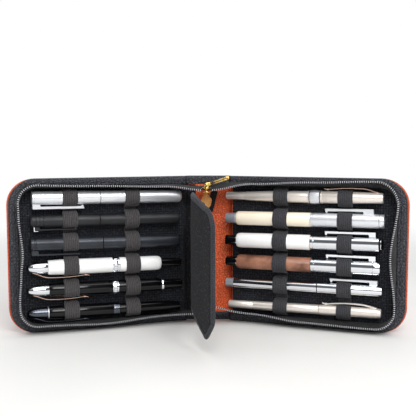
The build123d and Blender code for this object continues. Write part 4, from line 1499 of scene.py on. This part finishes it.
# Page between the leaves
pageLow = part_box("divider_left_face")[0]
pageHinge = Vector(joints["divider_turn"]["pos_m"])
pageTurn = math.radians(3.0)
pageReach = (pageHinge.y - pageLow.y) / math.cos(pageTurn)
pageShape = {
    # by share of its reach: mm to the left, then height of its lower and its upper edge in mm
    "bow": [
        (0.0, 0.0), (0.18, 5.4), (0.34, 10.0), (0.5, 12.4), (0.6, 12.6), (0.72, 9.6), (0.86, 3.6),
        (1.0, -2.2),
    ],
    "low": [
        (0.0, 24.0), (0.3, 30.0), (0.5, 32.5), (0.65, 28.0), (0.84, 16.6), (0.87, 14.8), (0.9, 17.0),
        (0.96, 25.0), (1.0, 30.0),
    ],
    "high": [
        (0.0, 115.0), (0.12, 118.0), (0.27, 124.0), (0.45, 129.0), (0.68, 127.5), (0.86, 122.0), (1.0, 119.5),
    ],
    "topRadius": 15.0 * mm,
    "footRadius": 3.0 * mm,
    "rootGap": 1.0 * mm,
    "faceThickness": 1.6 * mm,
    "faceOverlap": 0.25 * mm,    # how far each face reaches past the page's middle
    "leastPuff": 0.3,
    "puffWidth": 7.0 * mm,       # how far in from its edge the padding is full
    "ripple": 0.16,
    "ripplesPerMetre": 45,
    "columns": 40,
    "rows": 30,
    "bindingWidth": 3.4 * mm,
    "bindingThickness": 0.5 * mm,
    "bindingSteps": (60, 14, 40),      # along an edge, round a corner and down the end
    "foldKeep": 0.1,             # share of its reach left when the leaves are shut
    "hingeHalf": 0.6 * mm,       # half the thickness of the tape at its root
    "hingeLow": 15.6 * mm,
    "hingeHigh": 110.0 * mm,
    "hingeSteps": 36,
    "flangeLow": (0.3 * mm, -0.7 * mm),    # from the inner strip's side and front
    "flangeHigh": (-12.0 * mm, -0.05 * mm),
    "flangeInset": 8.0 * mm,
    "flangeRounding": 0.3 * mm,
}


def pageBow(share):
    flat = pageHinge.x + math.tan(pageTurn) * share * pageReach
    return flat - curveThrough(pageShape["bow"], share) * mm


def pagePoint(along, z, offset):
    # along runs from the root to the free edge, offset goes through the thickness, to the left
    share, ahead = along / pageReach, 0.002
    x = pageBow(share)
    slope = Vector((pageBow(share + ahead) - x, -ahead * pageReach, 0)).normalized()
    left = Vector((slope.y, -slope.x, 0))
    return Vector((x, pageHinge.y - along, z)) + left * offset


def pageLimits(along):
    # heights of the page's lower and upper edge, with its rounded corners
    limits = []
    for edge, radius, sign in (("low", pageShape["footRadius"], 1), ("high", pageShape["topRadius"], -1)):
        beyond = max(0.0, along - (pageReach - radius))
        cut = radius - math.sqrt(max(radius * radius - beyond * beyond, 0.0))
        limits.append(curveThrough(pageShape[edge], along / pageReach) * mm + sign * cut)
    return limits


def flattenPage(piece):
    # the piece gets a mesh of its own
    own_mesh(piece)


def makePage():
    columns, rows, first = pageShape["columns"], pageShape["rows"], pageShape["rootGap"]
    heights = [0.5 - 0.5 * math.cos(math.pi * row / rows) for row in range(rows + 1)]
    thick, count, least = pageShape["faceThickness"], pageShape["ripplesPerMetre"], pageShape["leastPuff"]
    for side, sign, replaced in (
        ("left", 1, ["divider_left_face", "divider_core"]), ("right", -1, ["divider_right_face"]),
    ):
        front, back = [], []
        for column in range(columns + 1):
            along = first + (pageReach - first) * math.sin(math.pi / 2 * column / columns)
            low, high = pageLimits(along)
            levels = [low + (high - low) * height for height in heights]
            line = []
            for z in levels:
                edge = min(z - low, high - z, pageReach - along)
                puff = least + (1 - least) * smoothStep(edge / pageShape["puffWidth"])
                ripple = 1 + pageShape["ripple"] * noise.noise(Vector((along * count, z * count, sign)))
                line.append(pagePoint(along, z, sign * (thick * puff * ripple)))
            front.append(line)
            back.append([pagePoint(along, z, -sign * pageShape["faceOverlap"]) for z in levels])
        spots = [(-point.y, point.z, 0.0) for line in front + back for point in line]
        piece = panelPiece(f"page_{side}_face", front, back, "pageCloth", spots)
        settle(piece, "divider", "divider_cloth", *replaced)
        flattenPage(piece)


def makePageBinding():
    # a piping folded round the page's edge from the root's top to its foot
    # each item of the line: (along, level from -1 to 1, outward along, outward z)
    edgeSteps, cornerSteps, endSteps = pageShape["bindingSteps"]
    topRadius, footRadius, gap = pageShape["topRadius"], pageShape["footRadius"], pageShape["rootGap"]
    edges = []
    for radius, where in ((topRadius, 1), (footRadius, -1)):
        straight = pageReach - radius - gap
        edge = [(gap + straight * step / edgeSteps, where, 0.0, where) for step in range(edgeSteps)]
        for step in range(cornerSteps):
            turn = math.pi / 2 * step / cornerSteps
            out, up = math.sin(turn), where * math.cos(turn)
            edge.append((pageReach - radius + radius * out, where, out, up))
        edges.append(edge)
    end = [(pageReach, 1 - 2 * step / endSteps, 1.0, 0.0) for step in range(endSteps + 1)]
    wide, thick = pageShape["bindingWidth"], pageShape["bindingThickness"]
    half = pageShape["faceThickness"] * 0.5
    leftSide = [
        (-wide * 0.5, half * 0.4), (-wide, half * 1.3), (-wide, half * 1.3 + thick),
        (-wide * 0.5, half * 1.25 + thick), (-thick, half * 1.1 + thick), (thick, half * 0.5 + thick * 0.5),
    ]
    rightSide = [(out, -deep) for out, deep in reversed(leftSide)]
    profile = [*leftSide[1:], (thick * 1.6, 0.0), *rightSide, (-thick, 0.0), leftSide[0]]
    endLow = curveThrough(pageShape["low"], 1.0) * mm + footRadius
    endHigh = curveThrough(pageShape["high"], 1.0) * mm - topRadius
    rows = []
    for along, where, outAlong, outZ in edges[0] + end + edges[1][::-1]:
        low, high = pageLimits(min(along, pageReach - 0.01 * mm))
        z = high if where >= 1 else low if where <= -1 else endLow + (endHigh - endLow) * (where + 1) / 2
        rows.append([pagePoint(along + out * outAlong, z + out * outZ, deep) for out, deep in profile])
    piece = gridPiece("page_binding", rows, "pagePiping")
    settle(piece, "divider", "binding_cloth", "divider_edge_binding")
    flattenPage(piece)


def makePageFlange():
    # the tape that joins the page's root to the spine, and the cloth flange it is sewn down by
    thick, low, high = pageShape["hingeHalf"], pageShape["hingeLow"], pageShape["hingeHigh"]
    steps = pageShape["hingeSteps"]
    middle, front, base = pageHinge.x, pageHinge.y, innerLow.y
    profile = [
        (middle - thick, base), (middle - thick, front + 0.4 * mm), (middle - thick * 0.5, front - 0.4 * mm),
        (middle + thick * 0.5, front - 0.4 * mm), (middle + thick, front + 0.4 * mm),
        (middle + thick, base - 1.0 * mm), (middle + 6.0 * mm, base - 0.5 * mm), (middle + 7.0 * mm, base),
    ]
    levels = [low + (high - low) * step / steps for step in range(steps + 1)]
    rows = [[Vector((x, y, z)) for x, y in profile] for z in levels]
    spots = [(x, z, y) for z in levels for x, y in profile]
    piece = gridPiece("page_hinge_tape", rows, "pageCloth", place=spots)
    settle(piece, "spine", "divider_cloth", "divider_hinge_tape")
    (lowX, lowY), (highX, highY) = pageShape["flangeLow"], pageShape["flangeHigh"]
    flangeLow = Vector((innerLow.x + lowX, base + lowY, pageShape["flangeInset"]))
    flangeHigh = Vector((highX, base + highY, caseHeight - pageShape["flangeInset"]))
    flange = slab("page_flange", flangeLow, flangeHigh, "pageCloth", pageShape["flangeRounding"])
    settle(flange, "spine", "divider_cloth")


# Slider, pull, tab and stop; outlines in mm
sliderShape = {
    "platePoints": [
        (-5.2, 3.4), (-4.9, 4.6), (-3.9, 5.0), (3.9, 5.0), (4.9, 4.6), (5.2, 3.4), (4.5, -1.6), (3.2, -4.0),
        (1.2, -5.0), (-1.2, -5.0), (-3.2, -4.0), (-4.5, -1.6),
    ],
    "wedgePoints": [(-0.6, -0.2), (0.6, -0.2), (1.1, -2.0), (0.7, -4.6), (-0.7, -4.6), (-1.1, -2.0)],
    "rimPoints": [(5.2, 3.2), (4.6, 3.2), (4.0, -1.4), (4.6, -1.4)],
    "earPoints": [
        (-2.2, -0.1), (-2.2, 1.9), (-1.7, 3.1), (-0.7, 3.75), (0.7, 3.75), (1.7, 3.1), (2.2, 1.9),
        (2.2, -0.1),
    ],
    "plate": 1.0 * mm,
    "mouth": 2.6 * mm,
    "rim": 0.9 * mm,             # how far the plates' sides turn towards each other
    "earInside": 2.6 * mm,
    "earThickness": 1.4 * mm,
    "pinHalfLength": 4.4 * mm,
    "pinTurned": [
        (0, 0.7), (0.15, 1.15), (0.5, 1.2), (0.6, 0.8), (8.2, 0.8), (8.3, 1.2), (8.65, 1.15), (8.8, 0.7),
    ],
}
pinPlace = Vector(joints["zip_pull_swing"]["pos_m"])
sliderLift = sliderShape["mouth"] / 2 + sliderShape["plate"]
slider = Vector((pinPlace.x, pinPlace.y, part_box("zip_slider_body")[0].z + sliderLift))


def plateMesh(name, outline, bevel, low, high, toPoint, material="brass"):
    # a plate of an outline in mm, between two depths, with softened rims
    points = [Vector((x * mm, y * mm)) for x, y in outline]
    centre = sum(points, Vector((0.0, 0.0))) / len(points)
    reach = sum((point - centre).length for point in points) / len(points)
    soft = bevel * 0.3
    levels = [(low, bevel), (low + soft, soft), (low + bevel, 0.0)]
    levels += [(high - bevel, 0.0), (high - soft, soft), (high, bevel)]
    rows = [
        [toPoint(*(centre + (point - centre) * (1 - shrink / reach)), depth) for point in points]
        for depth, shrink in levels
    ]
    return gridPiece(name, rows, material, sharpAngle=40)


def crossPin(name, middle, halfLength, inward, upward, stations):
    # a turned pin that lies across the case, from front to back
    start = middle - Vector((0, halfLength, 0))
    place = {"start": start, "axis": Vector((0, 1, 0)), "inward": inward, "upward": upward}
    return lathe(name, place, stations, "brass", around=24)


def makeSlider():
    shape = sliderShape
    gap, rim, earLow = shape["mouth"] / 2, shape["rim"], shape["earInside"]
    earHigh = earLow + shape["earThickness"]

    def flat(x, y, depth):
        return slider + Vector((x, y, depth))

    def upright(side):
        return lambda x, z, depth: slider + Vector((x, side * depth, sliderLift + z))

    plates = [
        ("top_plate", shape["platePoints"], 0.3, gap, sliderLift, flat),
        ("bottom_plate", shape["platePoints"], 0.3, -sliderLift, -gap, flat),
        ("wedge", shape["wedgePoints"], 0.1, -gap - 0.2 * mm, gap + 0.2 * mm, flat),
    ]
    for label, sign in sides.items():
        outline = [(sign * x, y) for x, y in shape["rimPoints"]]
        plates += [
            (f"{label}_top_rim", outline, 0.12, gap - rim, gap + 0.1 * mm, flat),
            (f"{label}_bottom_rim", outline, 0.12, -gap - 0.1 * mm, -gap + rim, flat),
        ]
    for label, sign in (("front", -1), ("back", 1)):
        plates.append((f"{label}_ear", shape["earPoints"], 0.3, earLow, earHigh, upright(sign)))
    pieces = [
        plateMesh(f"slider_{label}", outline, bevel * mm, *rest) for label, outline, bevel, *rest in plates
    ]
    ways = Vector((1, 0, 0)), Vector((0, 0, 1))
    pieces.append(crossPin("slider_pin", pinPlace, shape["pinHalfLength"], *ways, shape["pinTurned"]))
    settleSet(pieces, "spine", "zip_brass", "zip_slider_body")


pullShape = {
    "lift": 18.0,                # degrees above level, as the frame has it
    # distance from the pin and half height, in mm
    "eye": [(-1.6, 0.6), (-1.2, 1.3), (0.0, 1.9), (1.3, 1.9), (2.6, 1.35), (4.0, 1.3)],
    "neck": [(16.4, 1.3), (18.4, 1.3), (19.2, 1.5), (20.6, 1.5)],
    "rail": [(3.4, 0.35), (3.4, 1.35), (17.0, 1.35), (17.0, 0.35)],
    "halfWidth": 2.2 * mm,
    "crossAt": 20.9 * mm,
    "crossRadius": 1.35,         # in mm
    "crossHalfLength": 3.4 * mm,
    "crossTurned": [(0, 0.5), (0.3, 0.9), (0.9, 1.1), (1.5, 0.9), (1.7, 0.75)],   # radius as a factor
}


def makePull():
    # two rails with a slot between them, joined at the eye and under the crosspiece
    shape = pullShape
    lift, half = math.radians(shape["lift"]), shape["halfWidth"]
    along, up = Vector((math.cos(lift), 0, math.sin(lift))), Vector((-math.sin(lift), 0, math.cos(lift)))

    def toPoint(x, z, depth):
        return pinPlace + along * x + up * z + Vector((0, depth, 0))

    pieces = []
    for label in ("eye", "neck"):
        outline = shape[label] + [(x, -y) for x, y in reversed(shape[label])]
        pieces.append(plateMesh(f"pull_{label}", outline, 0.25 * mm, -half, half, toPoint))
    for label, sign in (("upper", 1), ("lower", -1)):
        rail = [(x, sign * y) for x, y in shape["rail"]]
        pieces.append(plateMesh(f"pull_{label}_rail", rail, 0.2 * mm, -half, half, toPoint))
    length = shape["crossHalfLength"] * 2 / mm
    turned = [(distance, shape["crossRadius"] * factor) for distance, factor in shape["crossTurned"]]
    turned += [(length - distance, radius) for distance, radius in reversed(turned)]
    middle = pinPlace + along * shape["crossAt"]
    pieces.append(crossPin("pull_crosspiece", middle, shape["crossHalfLength"], along, up, turned))
    settleSet(pieces, "zip_pull", "zip_brass", "zip_pull")


tabShape = {
    "outline": [
        (-6.2, 117.8), (-5.6, 119.4), (-3.4, 122.6), (-2.8, 126.6), (-0.6, 126.6), (-0.2, 122.6),
        (3.0, 119.2), (3.7, 117.6), (2.6, 112.6), (1.4, 110.6), (-2.6, 109.4), (-4.6, 110.6), (-6.6, 115.4),
    ],
    "thickness": 1.5 * mm,
    "seamScale": (0.8, 0.72),
    "seamPlace": (-0.3, 115.5),
    "stitch": (1.3 * mm, 2.0 * mm, 0.4 * mm),      # length, pitch and thickness
}


def makeTab():
    # leather folded over the tapes' upper ends, with a stitch line round it
    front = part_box("zip_end_tab")[0].y

    def toPoint(x, z, depth):
        return Vector((x, front + depth, z))

    outline, thick = tabShape["outline"], tabShape["thickness"]
    tab = plateMesh("zip_tab_leather", outline, 0.35 * mm, 0.0, thick, toPoint, "tanLeather")
    settle(tab, "spine", "tan_leather", "zip_end_tab")
    scaleX, scaleZ = tabShape["seamScale"]
    seamX, seamZ = tabShape["seamPlace"]
    line = [
        Vector(((x * scaleX + seamX) * mm, front - 0.05 * mm, (seamZ + (z - seamZ) * scaleZ) * mm))
        for x, z in outline
    ]
    line.append(line[0])
    seam = [(line, [Vector((0, -1, 0))] * len(line))]
    settle(stitchMesh("zip_tab_stitches", seam, *tabShape["stitch"], "orangeThread"), "spine", "tan_leather")


stopShape = {
    "around": 28,
    "squareness": 0.55,
    "beads": [("lower", 0.32), ("upper", 0.68)],
    "beadSwell": 1.06,
    "beadHalf": 0.35 * mm,
}


def makeStop():
    low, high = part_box("zip_end_stop")
    middle, reach = (low + high) / 2, (high - low) / 2 / mm
    bead, swell = stopShape["beadHalf"], stopShape["beadSwell"]

    def rounded(part):
        return math.copysign(abs(part) ** stopShape["squareness"], part)

    def toPoint(x, y, depth):
        return Vector((middle.x + x, middle.y + y, depth))

    turns = [2 * math.pi * step / stopShape["around"] for step in range(stopShape["around"])]
    outline = [(rounded(math.cos(turn)) * reach.x, rounded(math.sin(turn)) * reach.y) for turn in turns]
    wider = [(x * swell, y * swell) for x, y in outline]
    pieces = [plateMesh("zip_stop_clamp", outline, 0.6 * mm, low.z, high.z, toPoint)]
    for label, share in stopShape["beads"]:
        height = low.z + (high.z - low.z) * share
        ends = height - bead, height + bead
        pieces.append(plateMesh(f"zip_stop_{label}_bead", wider, 0.25 * mm, *ends, toPoint))
    settleSet(pieces, "spine", "zip_brass", "zip_end_stop")


# Zip ends: tapes that run free from each leaf to the slider and to the lower stop, with their coil
tapeEndShape = {
    "steps": 26,
    "levels": 7,
    "meetX": 1.3 * mm,           # from the slider's middle to each tape
    "meetY": 13.0 * mm,
    "meetDepth": 18.0 * mm,
    "nearWay": -0.15,            # how far the tapes lean to the front as they leave the slider
    "pull": 0.38,
    "bendStart": 6.0 * mm,       # where the tapes begin to follow their leaf, and how far before it they end
    "bendEnd": 1.0 * mm,
    "coilFrom": 2,               # the coil leaves out this many sections at the slider
    "lowerRise": {"left": 0.0, "right": 6.0 * mm},        # how far the lower tapes swell up beside the stop
    "backRise": {"left": 2.5 * mm, "right": 6.0 * mm},    # how far the upper ones' sewn edge stands up
    "tailPath": [
        (6.6, -9.2, 126.4), (5.4, -9.2, 122.6), (4.4, -9.1, 118.0), (3.6, -9.0, 112.5), (2.0, -8.7, 106.0),
    ],
    "tailWidth": 6.4 * mm,
    "tailSteps": 24,
    "tailThickness": 0.45 * mm,
    "tailProfile": [(-1, -1), (-0.9, 1), (-0.3, 1.4), (0.3, 1.4), (0.9, 1), (1, -1), (0, -1)],
}


def tapeEndRows(side, upper):
    # sections of the free tape from the slider or stop to the leaf
    shape = tapeEndShape
    meetX = slider.x + sides[side] * shape["meetX"]
    meetZ = slider.z if upper else caseHeight - slider.z
    item = tapeRun[0 if upper else -1]
    nearWay, farWay = Vector((sides[side], shape["nearWay"], 0)).normalized(), leafDirections(side)[0]
    sections = []
    for step in range(shape["steps"] + 1):
        share = step / shape["steps"]
        rise = 0.0 if upper else shape["lowerRise"][side] * math.sin(math.pi * share ** 0.36) ** 2
        line = []
        for level in range(shape["levels"]):
            height = level / (shape["levels"] - 1)
            near = Vector((meetX, slider.y + shape["meetY"] - shape["meetDepth"] * height, meetZ))
            far = tapePlace(side, item, height * tapeHeight, 0.0)
            back = shape["backRise"][side] * (1 - height) * (1 - share) ** 0.6 if upper else 0.0
            lifted = Vector((0, 0, rise * (0.35 + 0.65 * height) + back))
            line.append(bendBetween(near, nearWay, far, farWay, shape["pull"], share) + lifted)
        sections.append(line)
    return sections


def makeTapeEnds(side):
    start = Vector((slider.x + sides[side] * tapeEndShape["bendStart"], slider.y, 0))
    end = leafPoint(side, tapeStart - tapeEndShape["bendEnd"], tapeHeight, 0)
    replaced = [f"{side}_zip_tape_end"]
    for name in ("upper", "lower"):
        sections = tapeEndRows(side, name == "upper")
        rows = []
        for index, line in enumerate(sections):
            behind, ahead = beside(sections, index)
            outer, inner = [], []
            for level, point in enumerate(line):
                lower, higher = beside(line, level)
                along, rise = (ahead[level] - behind[level]).normalized(), (higher - lower).normalized()
                normal = along.cross(rise).normalized()
                if normal.z < 0:
                    normal.negate()
                outer.append(point + normal * tapeHalf)
                inner.append(point - normal * tapeHalf)
            rows.append(outer + inner[::-1])
        piece = gridPiece(f"{side}_{name}_tape_end", rows, "zipTape")
        settleBend(piece, side, start, end, "zip_tape_cloth", *replaced)
        replaced = []
        coiled = sections[tapeEndShape["coilFrom"]:]
        ups = [(line[-1] - line[-2]).normalized() for line in coiled]
        spine = [line[-1] + up * zipShape["coilLift"] for line, up in zip(coiled, ups)]
        outs = []
        for index, up in enumerate(ups):
            behind, ahead = beside(spine, index)
            outs.append((ahead - behind).normalized().cross(up).normalized())
        coil = coilMesh(f"{side}_{name}_coil_end", spine, outs, ups)
        settleBend(coil, side, start, end, "zip_tape_cloth")


def makeTapeTail():
    # the tapes' upper tail, tucked down in front of the spine's inner strip
    shape = tapeEndShape
    path = [list(enumerate(axis)) for axis in zip(*shape["tailPath"])]
    front = Vector((0, -1, 0))

    def tailPoint(where):
        return Vector([curveThrough(table, where) * mm for table in path])

    rows = []
    for step in range(shape["tailSteps"] + 1):
        share = step / shape["tailSteps"]
        where = share * (len(shape["tailPath"]) - 1)
        point = tailPoint(where)
        across = (tailPoint(where + 0.02) - point).normalized().cross(front).normalized()
        half = shape["tailWidth"] / 2 * (1 - 0.3 * share ** 2)
        rows.append([
            point + across * (half * reach) + front * (shape["tailThickness"] * deep)
            for reach, deep in shape["tailProfile"]
        ])
    settle(gridPiece("zip_tape_tail", rows, "zipTape"), "spine", "zip_tape_cloth")


# Stage: floor, backdrop light and lamps
stageLook = {
    "floorSize": 6.0,
    "floorTone": screenColour((238, 237, 234)),
    "farTone": screenColour((232, 231, 228)),
    "roomTone": (0.97, 0.98, 1.0, 1.0),
    "white": (1.0, 1.0, 1.0, 1.0),
    "worldStrength": 0.6,
    "dimRoom": 0.14,             # what metal sees above and behind the camera
    "whiteFrom": 0.32,           # the floor fades to white beyond this distance, for the camera alone
    "whiteTo": 0.9,
    "aim": (0.0, -0.05, 0.07),
    "lamps": {                   # place, size and power
        "keySoftbox": ((0.2, -0.95, 0.85), (0.7, 0.6), 11.0),
        "fillSoftbox": ((0.1, -0.25, 1.3), (0.9, 0.7), 3.0),
    },
}


def addFloor():
    size = stageLook["floorSize"]
    mesh = bpy.data.meshes.new("floor")
    corners = [(-size, -size, 0), (size, -size, 0), (size, size, 0), (-size, size, 0)]
    mesh.from_pydata(corners, [], [(0, 1, 2, 3)])
    floor = bpy.data.objects.new("floor", mesh)
    material, tree, shader, place = startMaterial("paleFloor", attribute=None)
    patches = rangeNode(tree, noiseNode(tree, place, 6.0), 0.3, 0.7)
    tone = mixTone(tree, patches, stageLook["floorTone"], stageLook["farTone"])
    setInputs(tree, shader, {"Base Color": tone, "Roughness": 0.6})
    distance = addNode(tree, "VectorMath", {0: place}, operation="LENGTH").outputs["Value"]
    fade = rangeNode(tree, distance, stageLook["whiteFrom"], stageLook["whiteTo"], kind="SMOOTHSTEP")
    seen = addNode(tree, "LightPath").outputs["Is Camera Ray"]
    white = addNode(tree, "Emission", {"Color": stageLook["white"], "Strength": 1.0}).outputs[0]
    share = mathNode(tree, "MULTIPLY", fade, seen)
    mix = addNode(tree, "MixShader", {0: share, 1: shader.outputs[0], 2: white}).outputs[0]
    setInputs(tree, tree.nodes["Material Output"], {"Surface": mix})
    mesh.materials.append(material)
    bpy.context.scene.collection.objects.link(floor)


def addWorld():
    world = bpy.data.worlds.new("studio")
    world.use_nodes = True
    tree = world.node_tree
    tree.nodes.clear()

    def background(tone, strength):
        return addNode(tree, "Background", {"Color": stageLook[tone], "Strength": strength}).outputs[0]

    path = addNode(tree, "LightPath").outputs
    seen = mathNode(tree, "MAXIMUM", path["Is Camera Ray"], path["Is Transmission Ray"])
    way = addNode(tree, "SeparateXYZ", {0: addNode(tree, "TexCoord").outputs["Generated"]}).outputs
    front = rangeNode(tree, way[1], 0.1, -0.3, kind="SMOOTHSTEP")
    above = rangeNode(tree, way[2], 0.03, 0.16, kind="SMOOTHSTEP")
    below = rangeNode(tree, way[2], 0.86, 0.7, kind="SMOOTHSTEP")
    dim = mathNode(tree, "MULTIPLY", front, mathNode(tree, "MULTIPLY", above, below))
    light = mathNode(tree, "MULTIPLY_ADD", dim, stageLook["dimRoom"] - 1.0, 1.0)
    soft, room = background("roomTone", stageLook["worldStrength"]), background("roomTone", light)
    glossy = addNode(tree, "MixShader", {0: path["Is Glossy Ray"], 1: soft, 2: room}).outputs[0]
    mix = addNode(tree, "MixShader", {0: seen, 1: glossy, 2: background("white", 1.0)}).outputs[0]
    addNode(tree, "OutputWorld", {"Surface": mix})
    bpy.context.scene.world = world


def addLamps():
    for name, (place, size, power) in stageLook["lamps"].items():
        data = bpy.data.lights.new(name, "AREA")
        data.shape = "RECTANGLE"
        data.size, data.size_y = size
        data.energy = power
        lamp = bpy.data.objects.new(name, data)
        lamp.location = place
        lamp.rotation_euler = (Vector(stageLook["aim"]) - Vector(place)).to_track_quat("-Z", "Y").to_euler()
        bpy.context.scene.collection.objects.link(lamp)


addCamera()
addFloor()
addWorld()
addLamps()
bpy.context.scene.view_settings.view_transform = "Standard"
print("camera and stage ready")
for side in sides:
    makeCover(side)
    makeInside(side)
    makeFacing(side)
    makeTape(side)
    makeCoil(side)
print("leaves ready")
makeSpine()
for side in sides:
    makeFolds(side)
    makeTapeEnds(side)
makeTapeTail()
makeSlider()
makePull()
makeTab()
makeStop()
print("spine and folds ready")
for penName, penShape in penShapes.items():
    makePen(penName, penShape)
print("pens ready")
for side in sides:
    for place in ("inner", "outer"):
        makeElastic(side, place)
print("elastic loops ready")
makePage()
makePageBinding()
makePageFlange()
print("page ready")
